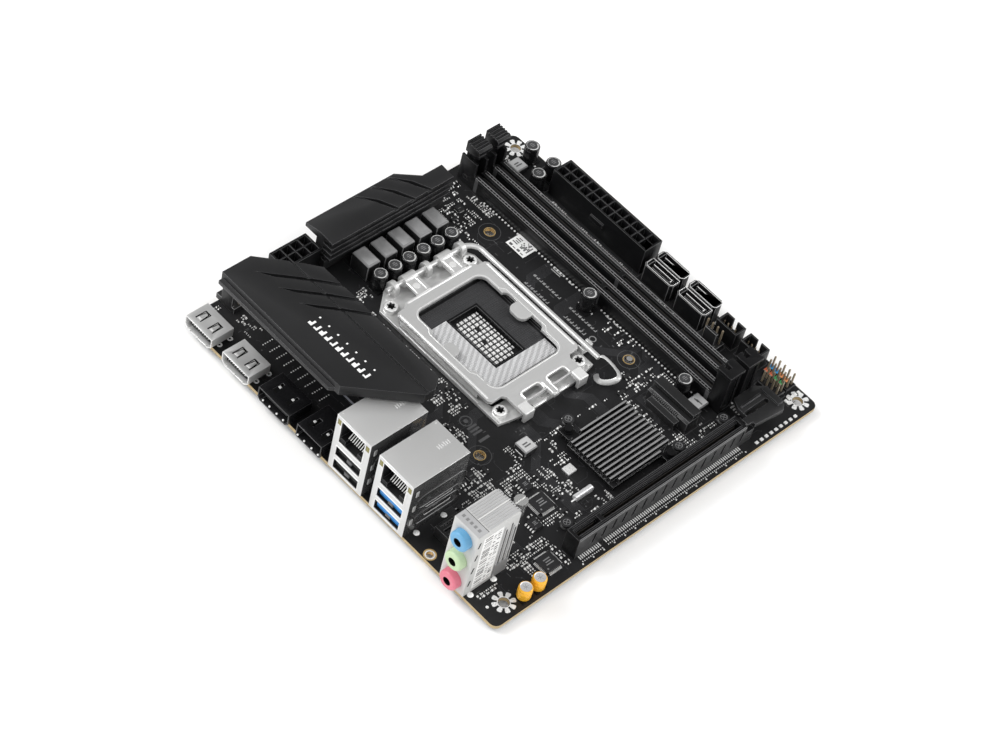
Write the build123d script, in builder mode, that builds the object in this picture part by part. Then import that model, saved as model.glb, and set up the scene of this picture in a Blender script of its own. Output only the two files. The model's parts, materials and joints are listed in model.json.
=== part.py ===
from build123d import *
import os

# A small-form computer mainboard, lying flat with its component side up.
# Millimetres. The origin is the middle of the board's underside, +Z is up, -X is the
# rear edge with the cable ports and -Y is the edge with the expansion slot.
# Places on the board are given from its corner between those two edges.

os.makedirs("parts", exist_ok=True)

# ---------------------------------------------------------------- driving dimensions
board_size = 170.18
board_corner_radius = 3.0
board_thickness = 1.6
top = board_thickness

mount_hole_radius = 1.98
mount_holes = [(10.16, 6.35), (165.10, 6.35), (165.10, 163.83), (33.02, 163.83)]

socket_x = 86.42
socket_y = 97.83
socket_length = 51.0
socket_width = 41.0
package_length = 45.2
package_width = 37.7
cooler_hole_spacing = 78.0
cooler_hole_radius = 1.95

sheet = 1.5
wire_radius = 1.1
running_gap = 0.05
hinge_y = 134.6
hinge_height = top + 4.6
plate_underside = top + 4.5
retention_screw_x = 20.5
retention_screw_low = -29.5
retention_screw_high = 31.0

memory_slot_pitch = 10.16
first_memory_slot_x = 137.8
memory_slot_y = 91.4
memory_slot_length = 142.0
memory_slot_width = 6.5
memory_slot_height = 7.4
latch_pivot_y = 162.2
latch_pivot_height = top + 3.6
latch_pin_radius = 1.0

power_cell_pitch = 4.2
power_connector_height = 13.3

expansion_slot_x = 87.3
expansion_slot_y = 8.0
expansion_slot_length = 88.2
expansion_slot_width = 6.6
expansion_slot_height = 11.0
retainer_pivot_x = 134.6
retainer_pivot_height = top + 3.4

rear_sink_top = top + 35.0
rear_sink_overhang_base = top + 30.2
sink_base = top + 2.6

port_stack_height = 29.2
port_stack_width = 17.9
port_stack_depth = 27.0
port_stack_front = -0.6
port_stack_y = [57.2, 79.4]

audio_y = 22.8
audio_jack_heights = [top + 5.3, top + 16.9, top + 28.3]
audio_bore_radius = 1.8
audio_front = -3.4

lever_arm_x = 113.05

on_base = (Align.CENTER, Align.CENTER, Align.MIN)
from_corner = (Align.MIN, Align.MIN, Align.MIN)


# ---------------------------------------------------------------- helpers
def at(x, y, z=0.0):
    """A point given from the board's corner, in the frame at the board's middle."""
    return (x - board_size / 2, y - board_size / 2, z)


def bar(x0, x1, y0, y1, z0, z1, mode=Mode.ADD):
    """A box between two corners, places given from the board's corner."""
    with Locations(at(x0, y0, z0)):
        Box(x1 - x0, y1 - y0, z1 - z0, align=from_corner, mode=mode)


def save(builder, name):
    """Label a finished piece and write it as its own STEP file."""
    builder.part.label = name
    export_step(builder.part, f"parts/{name}.step")


# ---------------------------------------------------------------- bare board
rear_sink_screws = [(30.5, 97.0), (27.5, 143.0)]
top_sink_screws = [(61.5, 163.4), (114.5, 160.4)]
sink_screw_radius = 1.25
retention_screws = [
    (socket_x + side * retention_screw_x, socket_y + row)
    for side in (-1, 1)
    for row in (retention_screw_low, retention_screw_high)
]
cooler_holes = [
    (socket_x + sx * cooler_hole_spacing / 2, socket_y + sy * cooler_hole_spacing / 2)
    for sx in (-1, 1)
    for sy in (-1, 1)
]
push_pins = [(79.9, 46.5), (103.4, 15.9)]

with BuildPart() as pcb:
    with BuildSketch():
        RectangleRounded(board_size, board_size, board_corner_radius)
        with Locations(*[at(x, y) for x, y in mount_holes]):
            Circle(mount_hole_radius, mode=Mode.SUBTRACT)
        with Locations(*[at(x, y) for x, y in cooler_holes]):
            Circle(cooler_hole_radius, mode=Mode.SUBTRACT)
        with Locations(*[at(x, y) for x, y in retention_screws]):
            Circle(2.0, mode=Mode.SUBTRACT)
        with Locations(*[at(x, y) for x, y in rear_sink_screws + top_sink_screws]):
            Circle(1.6, mode=Mode.SUBTRACT)
        with Locations(*[at(x, y) for x, y in push_pins]):
            Circle(1.5, mode=Mode.SUBTRACT)
        with Locations(at(2.7, 36.9)):
            Circle(1.4, mode=Mode.SUBTRACT)
    extrude(amount=board_thickness)
save(pcb, "pcb")

# ---------------------------------------------------------------- processor socket
cavity_length = 26.0
cavity_width = 14.0
socket_floor = top + 2.6
socket_rim = top + 4.0

with BuildPart() as socket_body:
    with BuildSketch(Plane.XY.offset(top)):
        with Locations(at(socket_x, socket_y)):
            RectangleRounded(socket_width, socket_length, 1.5)
    extrude(amount=socket_rim - top)
    with BuildSketch(Plane.XY.offset(socket_floor)):
        with Locations(at(socket_x, socket_y)):
            RectangleRounded(package_width, package_length, 1.0)
    extrude(amount=socket_rim - socket_floor, mode=Mode.SUBTRACT)
    with BuildSketch(Plane.XY.offset(top)):
        with Locations(at(socket_x, socket_y)):
            Rectangle(cavity_width, cavity_length)
    extrude(amount=socket_rim - top, mode=Mode.SUBTRACT)
    chamfer(socket_body.faces().sort_by(Axis.Z)[-1].outer_wire().edges(), length=0.4)
save(socket_body, "socket_body")

with BuildPart() as contact_field:
    with BuildSketch(Plane.XY.offset(socket_floor)):
        with Locations(at(socket_x, socket_y)):
            Rectangle(package_width - 2.6, package_length - 2.6)
            Rectangle(cavity_width + 1.6, cavity_length + 1.6, mode=Mode.SUBTRACT)
    extrude(amount=0.5)
save(contact_field, "contact_field")

with BuildPart() as socket_capacitors:
    with Locations(at(socket_x, socket_y, top)):
        with GridLocations(2.5, 2.0, 5, 12):
            Box(1.6, 0.8, 0.8, align=on_base)
save(socket_capacitors, "socket_capacitors")

# Retention frame: a stamped sheet on the board, with ears that hold the lever's shaft.
frame_base = top + 0.2
frame_top = frame_base + sheet
ear_places = [70.6, 87.6, 105.4]
ear_thickness = 2.2

with BuildPart() as retention_frame:
    with BuildSketch(Plane.XY.offset(frame_base)):
        with BuildLine():
            Polyline(
                at(61.8, 64.4)[:2],
                at(72.0, 62.4)[:2],
                at(101.0, 62.4)[:2],
                at(111.2, 64.4)[:2],
                at(111.2, 130.5)[:2],
                at(107.6, 137.1)[:2],
                at(69.8, 137.1)[:2],
                at(61.8, 130.5)[:2],
                close=True,
            )
        make_face()
        with Locations(at(socket_x, socket_y)):
            RectangleRounded(socket_width + 1.6, socket_length + 1.6, 2.0, mode=Mode.SUBTRACT)
        with Locations(*[at(x, y) for x, y in retention_screws]):
            Circle(1.75, mode=Mode.SUBTRACT)
    extrude(amount=sheet)
    # Ears stand up around the shaft.
    for ear_x in ear_places:
        with BuildSketch(Plane.YZ.offset(ear_x - board_size / 2)):
            with Locations((hinge_y - board_size / 2, (frame_top + hinge_height) / 2)):
                Rectangle(5.6, hinge_height - frame_top)
            with Locations((hinge_y - board_size / 2, hinge_height)):
                Circle(2.8)
        extrude(amount=ear_thickness)
    with Locations(Plane.YZ.offset(60 - board_size / 2)):
        with Locations((hinge_y - board_size / 2, hinge_height)):
            Cylinder(
                wire_radius + running_gap, 50, align=on_base, mode=Mode.SUBTRACT
            )
    # Rolled lip at the lower end, and the saddle that the lever's arm rests in.
    bar(77.6, 95.2, 62.4, 63.6, frame_top, frame_top + 1.4)
    bar(110.6, 115.8, 70.0, 73.2, frame_top, frame_top + 0.8)
    bar(114.6, 115.8, 70.0, 73.2, frame_top + 0.8, hinge_height + 0.6)
    bar(110.6, 111.2, 70.0, 73.2, frame_top, hinge_height)
    # Stiffening ribs along both rails.
    bar(61.8, 62.4, 76.0, 120.0, frame_top, frame_top + 0.6)
    bar(110.6, 111.2, 76.0, 120.0, frame_top, frame_top + 1.6)
save(retention_frame, "retention_frame")

with BuildPart() as retention_screw_set:
    for screw_x, screw_y in retention_screws:
        with Locations(at(screw_x, screw_y, -1.9)):
            Cylinder(1.45, frame_top + 1.9, align=on_base)
        with Locations(at(screw_x, screw_y, frame_top)):
            Cylinder(2.9, 1.7, align=on_base)
    fillet(
        retention_screw_set.faces().filter_by(Axis.Z).group_by(Axis.Z)[-1].edges(), radius=0.5
    )
    with Locations(*[at(x, y, frame_top + 0.7) for x, y in retention_screws]):
        with PolarLocations(0, 6):
            Box(2.8, 0.55, 2.0, align=on_base, mode=Mode.SUBTRACT)
save(retention_screw_set, "retention_screws")

# Steel back plate under the board, over a thin insulating film.
film_thickness = 0.2
back_plate_thickness = 2.2
back_plate_window_x = 33.0
back_plate_window_y = 35.0

with BuildPart() as back_plate_film:
    with BuildSketch(Plane.XY.offset(-film_thickness)):
        with Locations(at(socket_x, socket_y + 0.75)):
            RectangleRounded(50.0, 70.0, 3.0)
        with Locations(at(socket_x, socket_y)):
            RectangleRounded(back_plate_window_x, back_plate_window_y, 2.0, mode=Mode.SUBTRACT)
        with Locations(*[at(x, y) for x, y in retention_screws]):
            Circle(2.0, mode=Mode.SUBTRACT)
    extrude(amount=film_thickness)
save(back_plate_film, "back_plate_film")

with BuildPart() as back_plate:
    with BuildSketch(Plane.XY.offset(-film_thickness - back_plate_thickness)):
        with Locations(at(socket_x, socket_y + 0.75)):
            RectangleRounded(49.0, 69.0, 3.0)
            with Locations((24.5, 0), (-24.5, 0)):
                RectangleRounded(7.0, 36.0, 2.0, mode=Mode.SUBTRACT)
        with Locations(at(socket_x, socket_y)):
            RectangleRounded(back_plate_window_x, back_plate_window_y, 2.0, mode=Mode.SUBTRACT)
    extrude(amount=back_plate_thickness)
    with Locations(*[at(x, y, -film_thickness - back_plate_thickness) for x, y in retention_screws]):
        Cylinder(1.55, back_plate_thickness, align=on_base, mode=Mode.SUBTRACT)
    chamfer(back_plate.faces().sort_by(Axis.Z)[0].outer_wire().edges(), length=0.5)
save(back_plate, "back_plate")

# Load plate: a stamped lid over the processor, hinged on the lever's shaft.
plate_top = plate_underside + sheet
plate_left = 62.9
plate_right = 109.9
knuckles = [(76.4, 82.6), (94.6, 100.8)]

with BuildPart() as load_plate:
    with BuildSketch(Plane.XY.offset(plate_underside)):
        with BuildLine():
            Polyline(
                at(plate_left, 72.8)[:2],
                at(64.0, 71.5)[:2],
                at(69.0, 71.5)[:2],
                at(70.2, 70.0)[:2],
                at(70.2, 64.2)[:2],
                at(103.0, 64.2)[:2],
                at(103.0, 69.6)[:2],
                at(104.4, 71.5)[:2],
                at(108.6, 71.5)[:2],
                at(plate_right, 72.8)[:2],
                at(plate_right, 122.4)[:2],
                at(108.8, 123.5)[:2],
                at(105.6, 123.8)[:2],
                at(103.6, 125.6)[:2],
                at(69.6, 125.6)[:2],
                at(67.6, 123.8)[:2],
                at(64.0, 123.5)[:2],
                at(plate_left, 122.4)[:2],
                close=True,
            )
        make_face()
        # Window for the processor's lid, wider at its middle, with a lug on each side.
        with Locations(at(86.3, 97.3)):
            RectangleRounded(34.8, 45.0, 4.0, mode=Mode.SUBTRACT)
        with Locations(at(102.8, 97.2)):
            RectangleRounded(5.6, 21.8, 2.4, mode=Mode.SUBTRACT)
        with Locations(at(69.6, 97.6)):
            RectangleRounded(4.8, 23.0, 2.2, mode=Mode.SUBTRACT)
        with Locations(at(104.0, 97.5)):
            RectangleRounded(7.6, 8.4, 2.8)
        with Locations(at(68.6, 98.8)):
            RectangleRounded(5.2, 6.2, 2.2)
        with Locations(at(80.2, 66.6), at(93.4, 66.6)):
            RectangleRounded(9.2, 3.6, 1.4, mode=Mode.SUBTRACT)
    extrude(amount=sheet)
    # Side flanges bent down beside the socket.
    bar(plate_left, plate_left + 1.2, 78.0, 120.5, top + 2.4, plate_underside)
    bar(plate_right - 1.2, plate_right, 78.0, 120.5, top + 2.4, plate_underside)
    # Two feet and the finger tongue at the free end.
    for foot_left, foot_right in ((70.2, 75.0), (98.2, 103.0)):
        bar(foot_left, foot_right, 59.6, 64.2, plate_underside, plate_top)
        bar(foot_left, foot_right, 59.6, 60.9, top + 1.2, plate_underside)
    bar(85.6, 88.6, 60.2, 64.2, plate_underside, plate_top)
    # Hinge leaves and knuckles.
    for knuckle_left, knuckle_right in knuckles:
        bar(knuckle_left, knuckle_right, 125.4, hinge_y, hinge_height, hinge_height + sheet)
        with BuildSketch(Plane.YZ.offset(knuckle_left - board_size / 2)):
            with Locations((hinge_y - board_size / 2, hinge_height)):
                Circle(wire_radius + running_gap + 1.3)
        extrude(amount=knuckle_right - knuckle_left)
    with Locations(Plane.YZ.offset(70 - board_size / 2)):
        with Locations((hinge_y - board_size / 2, hinge_height)):
            Cylinder(
                wire_radius + running_gap, 40, align=on_base, mode=Mode.SUBTRACT
            )
save(load_plate, "load_plate")

# Load lever: one bent wire, its shaft in the frame's ears and its arm beside the plate.
with BuildPart() as load_lever:
    with BuildLine(Plane.XY.offset(hinge_height)) as lever_path:
        FilletPolyline(
            at(68.4, hinge_y)[:2],
            at(lever_arm_x, hinge_y)[:2],
            at(lever_arm_x, 64.0)[:2],
            radius=6.0,
        )
        Spline(
            at(lever_arm_x, 64.0)[:2],
            at(114.8, 57.2)[:2],
            at(111.6, 52.4)[:2],
            at(106.2, 58.6)[:2],
            tangents=[(0, -1), (-0.66, 0.75)],
        )
    with BuildSketch(Plane(origin=lever_path.line @ 0, z_dir=lever_path.line % 0)):
        Circle(wire_radius)
    sweep()
save(load_lever, "load_lever")

# ---------------------------------------------------------------- heat sinks
rear_sink_left = 4.4
rear_sink_right = 36.7
rear_sink_crease = 28.1

with BuildPart() as rear_heatsink:
    # Extruded comb: base, web and cooling fins, standing behind the rear ports.
    with BuildSketch(Plane.XZ.offset(-(90.4 - board_size / 2))):
        with BuildLine():
            Polyline(
                (24.0 - board_size / 2, sink_base),
                (36.2 - board_size / 2, sink_base),
                (36.2 - board_size / 2, rear_sink_overhang_base),
                (29.6 - board_size / 2, rear_sink_overhang_base),
                (29.6 - board_size / 2, sink_base + 4.6),
                (24.0 - board_size / 2, sink_base + 4.6),
                close=True,
            )
        make_face()
        for fin in range(4):
            with Locations((26.9 - board_size / 2, sink_base + 8.6 + 5.0 * fin)):
                Rectangle(5.8, 1.5)
    extrude(amount=-66.6)
    # Cover plate that reaches out over the ports.
    with BuildSketch(Plane.XY.offset(rear_sink_overhang_base)):
        with BuildLine():
            Polyline(
                at(rear_sink_left, 158.6)[:2],
                at(17.6, 158.6)[:2],
                at(rear_sink_right, 139.9)[:2],
                at(rear_sink_right, 77.3)[:2],
                at(31.6, 73.8)[:2],
                at(26.7, 73.8)[:2],
                at(rear_sink_left, 94.2)[:2],
                close=True,
            )
        make_face()
    extrude(amount=rear_sink_top - rear_sink_overhang_base)
    # The comb stops at the same slanted corner as the cover.
    with BuildSketch(Plane.XY.offset(sink_base)):
        with BuildLine():
            Polyline(
                at(17.6, 158.6)[:2],
                at(rear_sink_right, 139.9)[:2],
                at(rear_sink_right, 158.6)[:2],
                close=True,
            )
        make_face()
    extrude(amount=rear_sink_top - sink_base, mode=Mode.SUBTRACT)
    with BuildSketch(Plane.XY.offset(rear_sink_overhang_base)):
        with BuildLine():
            Polyline(
                at(2.6, 158.0)[:2],
                at(rear_sink_left, 158.0)[:2],
                at(rear_sink_left, 96.2)[:2],
                at(2.6, 97.9)[:2],
                close=True,
            )
        make_face()
    extrude(amount=rear_sink_top - 3.0 - rear_sink_overhang_base)
    # The side next to the socket falls away slightly behind a thin score line.
    with BuildSketch(Plane.XZ.offset(-(70.0 - board_size / 2))):
        with BuildLine():
            Polyline(
                (rear_sink_crease + 0.5 - board_size / 2, rear_sink_top),
                (rear_sink_right + 0.1 - board_size / 2, rear_sink_top - 0.9),
                (rear_sink_right + 0.1 - board_size / 2, rear_sink_top + 1.0),
                (rear_sink_crease + 0.5 - board_size / 2, rear_sink_top + 1.0),
                close=True,
            )
        make_face()
    extrude(amount=-100.0, mode=Mode.SUBTRACT)
    bar(
        rear_sink_crease - 0.4, rear_sink_crease + 0.5,
        70.0, 170.0, rear_sink_top - 0.6, rear_sink_top + 0.1, mode=Mode.SUBTRACT,
    )
    # Three slanted grooves across the cover.
    for groove_x, groove_y in ((14.4, 151.8), (16.3, 141.3), (17.8, 131.4)):
        with BuildSketch(Plane.XY.offset(rear_sink_top - 1.5)):
            with BuildLine():
                Polyline(
                    at(groove_x, groove_y)[:2],
                    at(rear_sink_right + 1.0, groove_y - 0.98 * (rear_sink_right - groove_x) - 0.4)[:2],
                    at(rear_sink_right + 1.0, groove_y - 0.98 * (rear_sink_right - groove_x) - 2.6)[:2],
                    at(groove_x + 4.0, groove_y - 5.9)[:2],
                    close=True,
                )
            make_face()
        extrude(amount=1.6, mode=Mode.SUBTRACT)
    with Locations(*[at(x, y, sink_base - 0.1) for x, y in rear_sink_screws]):
        Cylinder(1.3, 6.2, align=on_base, mode=Mode.SUBTRACT)
save(rear_heatsink, "rear_heatsink")

top_sink_left = 56.7
top_sink_right = 118.6
ridge_y = 161.9
front_y = 155.0
outer_y = 170.1

with BuildPart() as top_heatsink:
    with BuildSketch(Plane.YZ.offset(top_sink_left - board_size / 2)):
        with BuildLine():
            Polyline(
                (front_y - board_size / 2, top + 19.3),
                (ridge_y - board_size / 2, top + 20.0),
                (outer_y - board_size / 2, top + 18.0),
                (outer_y - board_size / 2, top + 16.2),
                (163.6 - board_size / 2, top + 16.2),
                (163.6 - board_size / 2, sink_base + 5.0),
                (166.6 - board_size / 2, sink_base + 5.0),
                (166.6 - board_size / 2, sink_base),
                (157.4 - board_size / 2, sink_base),
                (157.4 - board_size / 2, sink_base + 5.0),
                (159.6 - board_size / 2, sink_base + 5.0),
                (159.6 - board_size / 2, top + 17.8),
                (front_y - board_size / 2, top + 17.8),
                close=True,
            )
        make_face()
        for fin_height in (9.2, 12.0, 14.9):
            with Locations(((front_y + 160.0) / 2 - board_size / 2, top + fin_height + 0.65)):
                Rectangle(160.0 - front_y, 1.3)
    extrude(amount=top_sink_right - top_sink_left)
    # The outer corner next to the memory is cut back to the ridge.
    with BuildSketch(Plane.XY.offset(top + 8.5)):
        with BuildLine():
            Polyline(
                at(100.9, outer_y + 0.4)[:2],
                at(108.3, ridge_y)[:2],
                at(119.0, ridge_y)[:2],
                at(119.0, outer_y + 0.4)[:2],
                close=True,
            )
        make_face()
    extrude(amount=20.0, mode=Mode.SUBTRACT)
    for groove_x in (79.8, 88.4, 97.0):
        with BuildSketch(Plane.XY.offset(top + 18.0)):
            with BuildLine():
                Polyline(
                    at(groove_x, 169.3)[:2],
                    at(groove_x + 1.7, 169.3)[:2],
                    at(groove_x + 11.0, front_y - 1.0)[:2],
                    at(groove_x + 9.0, front_y - 1.0)[:2],
                    close=True,
                )
            make_face()
        extrude(amount=4.0, mode=Mode.SUBTRACT)
    with Locations(*[at(x, y, sink_base - 0.1) for x, y in top_sink_screws]):
        Cylinder(1.3, 4.2, align=on_base, mode=Mode.SUBTRACT)
save(top_heatsink, "top_heatsink")

with BuildPart() as heatsink_screws:
    with Locations(*[at(x, y, -1.6) for x, y in rear_sink_screws + top_sink_screws]):
        Cylinder(2.6, 1.6, align=on_base)
    with Locations(*[at(x, y, 0) for x, y in rear_sink_screws + top_sink_screws]):
        Cylinder(sink_screw_radius, sink_base + 3.2, align=on_base)
    with Locations(*[at(x, y, -1.6) for x, y in rear_sink_screws + top_sink_screws]):
        with PolarLocations(0, 2, angular_range=180):
            Box(3.2, 0.6, 0.9, align=on_base, mode=Mode.SUBTRACT)
save(heatsink_screws, "heatsink_screws")

power_stage_height = 1.0
rear_stages = [(26.6, 104.0 + 9.0 * i) for i in range(4)]
top_stages = [(68.5 + 9.6 * i, 161.6) for i in range(5)]

with BuildPart() as power_stages:
    with Locations(*[at(x, y, top) for x, y in rear_stages]):
        Box(5.0, 6.0, power_stage_height, align=on_base)
    with Locations(*[at(x, y, top) for x, y in top_stages]):
        Box(6.0, 5.0, power_stage_height, align=on_base)
save(power_stages, "power_stages")

with BuildPart() as thermal_pads:
    bar(24.2, 28.6, 100.4, 134.6, top + power_stage_height, sink_base)
    bar(64.4, 111.2, 158.4, 165.2, top + power_stage_height, sink_base)
save(thermal_pads, "thermal_pads")

# ---------------------------------------------------------------- coils and capacitors
choke_height = 8.4
top_chokes = [(71.2 + 8.9 * i, 149.9) for i in range(5)]
rear_chokes = [(42.4, 102.0 + 8.9 * i) for i in range(3)]

with BuildPart() as chokes:
    with BuildSketch(Plane.XY.offset(top)):
        with Locations(*[at(x, y) for x, y in top_chokes]):
            Rectangle(6.2, 9.4)
        with Locations(*[at(x, y) for x, y in rear_chokes]):
            Rectangle(9.4, 6.2)
    extrude(amount=choke_height)
    chamfer(chokes.faces().filter_by(Axis.Z).group_by(Axis.Z)[-1].edges(), length=0.4)
save(chokes, "chokes")

can_radius = 3.1
low_can_height = 8.0
tall_can_height = 9.2
core_cans = [(70.4 + 7.33 * i, 140.7) for i in range(6)]
board_cans = [(129.5, 86.8), (129.9, 35.5), (164.6, 155.6), (156.4, 143.4), (165.4, 144.2)]

with BuildPart() as capacitors:
    for places, height in ((core_cans, low_can_height), (board_cans, tall_can_height)):
        with Locations(*[at(x, y, top) for x, y in places]):
            Box(6.4, 6.4, 0.8, align=on_base)
        with Locations(*[at(x, y, top + 0.8) for x, y in places]):
            Cylinder(can_radius, height - 0.8, align=on_base)
    fillet(
        capacitors.faces().filter_by(Axis.Z).group_by(Axis.Z)[-1].edges()
        + capacitors.faces().filter_by(Axis.Z).group_by(Axis.Z)[-2].edges(),
        radius=0.35,
    )
save(capacitors, "capacitors")

with BuildPart() as audio_capacitors:
    with Locations(at(17.5, 4.1, top), at(24.4, 4.1, top)):
        Box(5.0, 5.0, 0.8, align=on_base)
    with Locations(at(17.5, 4.1, top + 0.8), at(24.4, 4.1, top + 0.8)):
        Cylinder(2.5, 5.2, align=on_base)
    fillet(audio_capacitors.faces().filter_by(Axis.Z).group_by(Axis.Z)[-1].edges(), radius=0.4)
save(audio_capacitors, "audio_capacitors")

with BuildPart() as small_coils:
    for coil_x, coil_y in ((63.05, 51.1), (130.8, 27.8), (157.4, 155.2)):
        with Locations(at(coil_x, coil_y, top)):
            Box(6.4, 6.4, 3.2, align=on_base)
    fillet(small_coils.edges().filter_by(Axis.Z), radius=0.6)
save(small_coils, "small_coils")

# Two flat packages and four small drum coils.
drum_places = [(51.2, 17.2), (84.7, 50.9), (110.1, 17.5), (133.9, 16.8)]

with BuildPart() as controller_chips:
    with Locations(at(50.5, 29.5, top), at(34.4, 9.1, top)):
        Box(7.0, 7.0, 1.4, align=on_base)
    with Locations(*[at(x, y, top) for x, y in drum_places]):
        Cylinder(2.3, 2.5, align=on_base)
    chamfer(controller_chips.faces().filter_by(Axis.Z).group_by(Axis.Z)[-1].edges(), length=0.2)
save(controller_chips, "controller_chips")

# ---------------------------------------------------------------- power connectors
def power_housing(x0, y0, columns, rows):
    """Header housing with one open cell for each contact, columns along X and rows along Y."""
    length_x = columns * power_cell_pitch + 1.2
    length_y = rows * power_cell_pitch + 1.2
    centre = at(x0 + length_x / 2, y0 + length_y / 2, top)
    with Locations(centre):
        Box(length_x, length_y, power_connector_height, align=on_base)
    with Locations((centre[0], centre[1], top + 3.0)):
        with GridLocations(power_cell_pitch, power_cell_pitch, columns, rows):
            Box(3.7, 3.7, power_connector_height, align=on_base, mode=Mode.SUBTRACT)


with BuildPart() as eps_housing:
    power_housing(38.3, 159.4, 4, 2)
    bar(43.6, 50.6, 169.0, 170.0, top + 6.0, top + 8.4)
save(eps_housing, "processor_power_housing")

with BuildPart() as atx_housing:
    power_housing(159.2, 87.4, 2, 12)
    bar(158.4, 159.2, 109.3, 116.3, top + 6.0, top + 8.4)
save(atx_housing, "main_power_housing")

with BuildPart() as power_pins:
    with Locations(at(38.3 + 9.0, 159.4 + 4.8, top + 3.0)):
        with GridLocations(power_cell_pitch, power_cell_pitch, 4, 2):
            Box(1.1, 1.1, 6.6, align=on_base)
    with Locations(at(159.2 + 4.8, 87.4 + 25.8, top + 3.0)):
        with GridLocations(power_cell_pitch, power_cell_pitch, 2, 12):
            Box(1.1, 1.1, 6.6, align=on_base)
save(power_pins, "power_pins")

# ---------------------------------------------------------------- memory slots
module_gap = 1.5
module_length = 133.6
key_offset = -3.9
tower_height = 13.6
post_height = 20.6
latch_thickness = 3.8
memory_slot_x = [first_memory_slot_x, first_memory_slot_x + memory_slot_pitch]

for number, slot_x in enumerate(memory_slot_x, start=1):
    half = memory_slot_width / 2
    with BuildPart() as memory_slot:
        bar(
            slot_x - half, slot_x + half,
            memory_slot_y - memory_slot_length / 2, memory_slot_y + memory_slot_length / 2,
            top, top + memory_slot_height,
        )
        # Two ledges run along the top, either side of the module groove.
        for side in (-1, 1):
            edge_x = slot_x + side * (half - 0.5)
            bar(
                edge_x - 0.55, edge_x + 0.55, 26.0, 156.6,
                top + memory_slot_height - 1.1, top + memory_slot_height + 0.1, mode=Mode.SUBTRACT,
            )
        # Latch tower at the far end and fixed guide post at the near end.
        bar(slot_x - half, slot_x + half, 157.4, 165.8, top, top + tower_height)
        bar(slot_x - half, slot_x + half, 19.8, 26.2, top, top + post_height)
        bar(slot_x - half - 0.8, slot_x + half + 0.8, 19.3, 26.4, top + post_height, top + post_height + 1.4)
        bar(
            slot_x - 1.6, slot_x + 0.6, 23.0, 25.2,
            top + post_height - 2.0, top + post_height + 2.0, mode=Mode.SUBTRACT,
        )
        bar(slot_x - 2.2, slot_x + 2.2, 19.7, 20.7, top + 2.0, top + post_height - 1.5, mode=Mode.SUBTRACT)
        # Groove for the module, interrupted by the key, open upward along the post.
        bar(
            slot_x - module_gap / 2, slot_x + module_gap / 2,
            memory_slot_y - module_length / 2, memory_slot_y + key_offset - 0.9,
            top + 2.4, top + memory_slot_height + 0.1, mode=Mode.SUBTRACT,
        )
        bar(
            slot_x - module_gap / 2, slot_x + module_gap / 2,
            memory_slot_y + key_offset + 0.9, memory_slot_y + module_length / 2,
            top + 2.4, top + memory_slot_height + 0.1, mode=Mode.SUBTRACT,
        )
        bar(
            slot_x - module_gap / 2, slot_x + module_gap / 2, 25.2, 26.7,
            top + memory_slot_height, top + post_height + 2.0, mode=Mode.SUBTRACT,
        )
        # Pocket in the tower for the latch, with bores for its pivot pins.
        bar(
            slot_x - latch_thickness / 2 - 0.4, slot_x + latch_thickness / 2 + 0.4, 157.3, 165.9,
            top + 0.6, top + tower_height + 0.1, mode=Mode.SUBTRACT,
        )
        with Locations(Plane.YZ.offset(slot_x - 5 - board_size / 2)):
            with Locations((latch_pivot_y - board_size / 2, latch_pivot_height)):
                Cylinder(
                    latch_pin_radius + running_gap, 10, align=on_base, mode=Mode.SUBTRACT
                )
    save(memory_slot, f"memory_slot_{number}")

    # Ejector latch: swings outward on its two pivot pins.
    with BuildPart() as memory_latch:
        with BuildSketch(Plane.YZ.offset(slot_x - latch_thickness / 2 - board_size / 2)):
            with BuildLine():
                Polyline(
                    (160.4 - board_size / 2, top + 1.4),
                    (163.6 - board_size / 2, top + 1.4),
                    (164.6 - board_size / 2, top + 5.0),
                    (164.6 - board_size / 2, top + 17.6),
                    (160.2 - board_size / 2, top + 17.6),
                    (158.2 - board_size / 2, top + 16.6),
                    (158.2 - board_size / 2, top + 15.4),
                    (160.6 - board_size / 2, top + 14.6),
                    (160.6 - board_size / 2, top + 3.4),
                    (158.4 - board_size / 2, top + 2.8),
                    (158.4 - board_size / 2, top + 1.4),
                    close=True,
                )
            make_face()
        extrude(amount=latch_thickness)
        with BuildSketch(Plane.YZ.offset(slot_x - 3.5 - board_size / 2)):
            with BuildLine():
                Polyline(
                    (159.2 - board_size / 2, top + 17.4),
                    (164.4 - board_size / 2, top + 16.6),
                    (164.4 - board_size / 2, top + 21.9),
                    (158.2 - board_size / 2, top + 21.4),
                    (157.2 - board_size / 2, top + 20.6),
                    (157.2 - board_size / 2, top + 18.8),
                    close=True,
                )
            make_face()
        extrude(amount=7.0)
        # Finger ribs across the thumb pad.
        for rib in range(4):
            bar(
                slot_x - 3.6, slot_x + 3.6, 158.9 + 1.4 * rib, 159.5 + 1.4 * rib,
                top + 21.1, top + 22.0, mode=Mode.SUBTRACT,
            )
        with Locations(Plane.YZ.offset(slot_x - half - board_size / 2)):
            with Locations((latch_pivot_y - board_size / 2, latch_pivot_height)):
                Cylinder(latch_pin_radius, memory_slot_width, align=on_base)
    save(memory_latch, f"memory_latch_{number}")

with BuildPart() as memory_contacts:
    for slot_x in memory_slot_x:
        for side in (-1, 1):
            strip_x = slot_x + side * (module_gap / 2 - 0.12)
            bar(strip_x - 0.12, strip_x + 0.12, 27.4, memory_slot_y + key_offset - 1.6, top + 2.4, top + 6.0)
            bar(strip_x - 0.12, strip_x + 0.12, memory_slot_y + key_offset + 1.6, 155.8, top + 2.4, top + 6.0)
save(memory_contacts, "memory_contacts")

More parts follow.
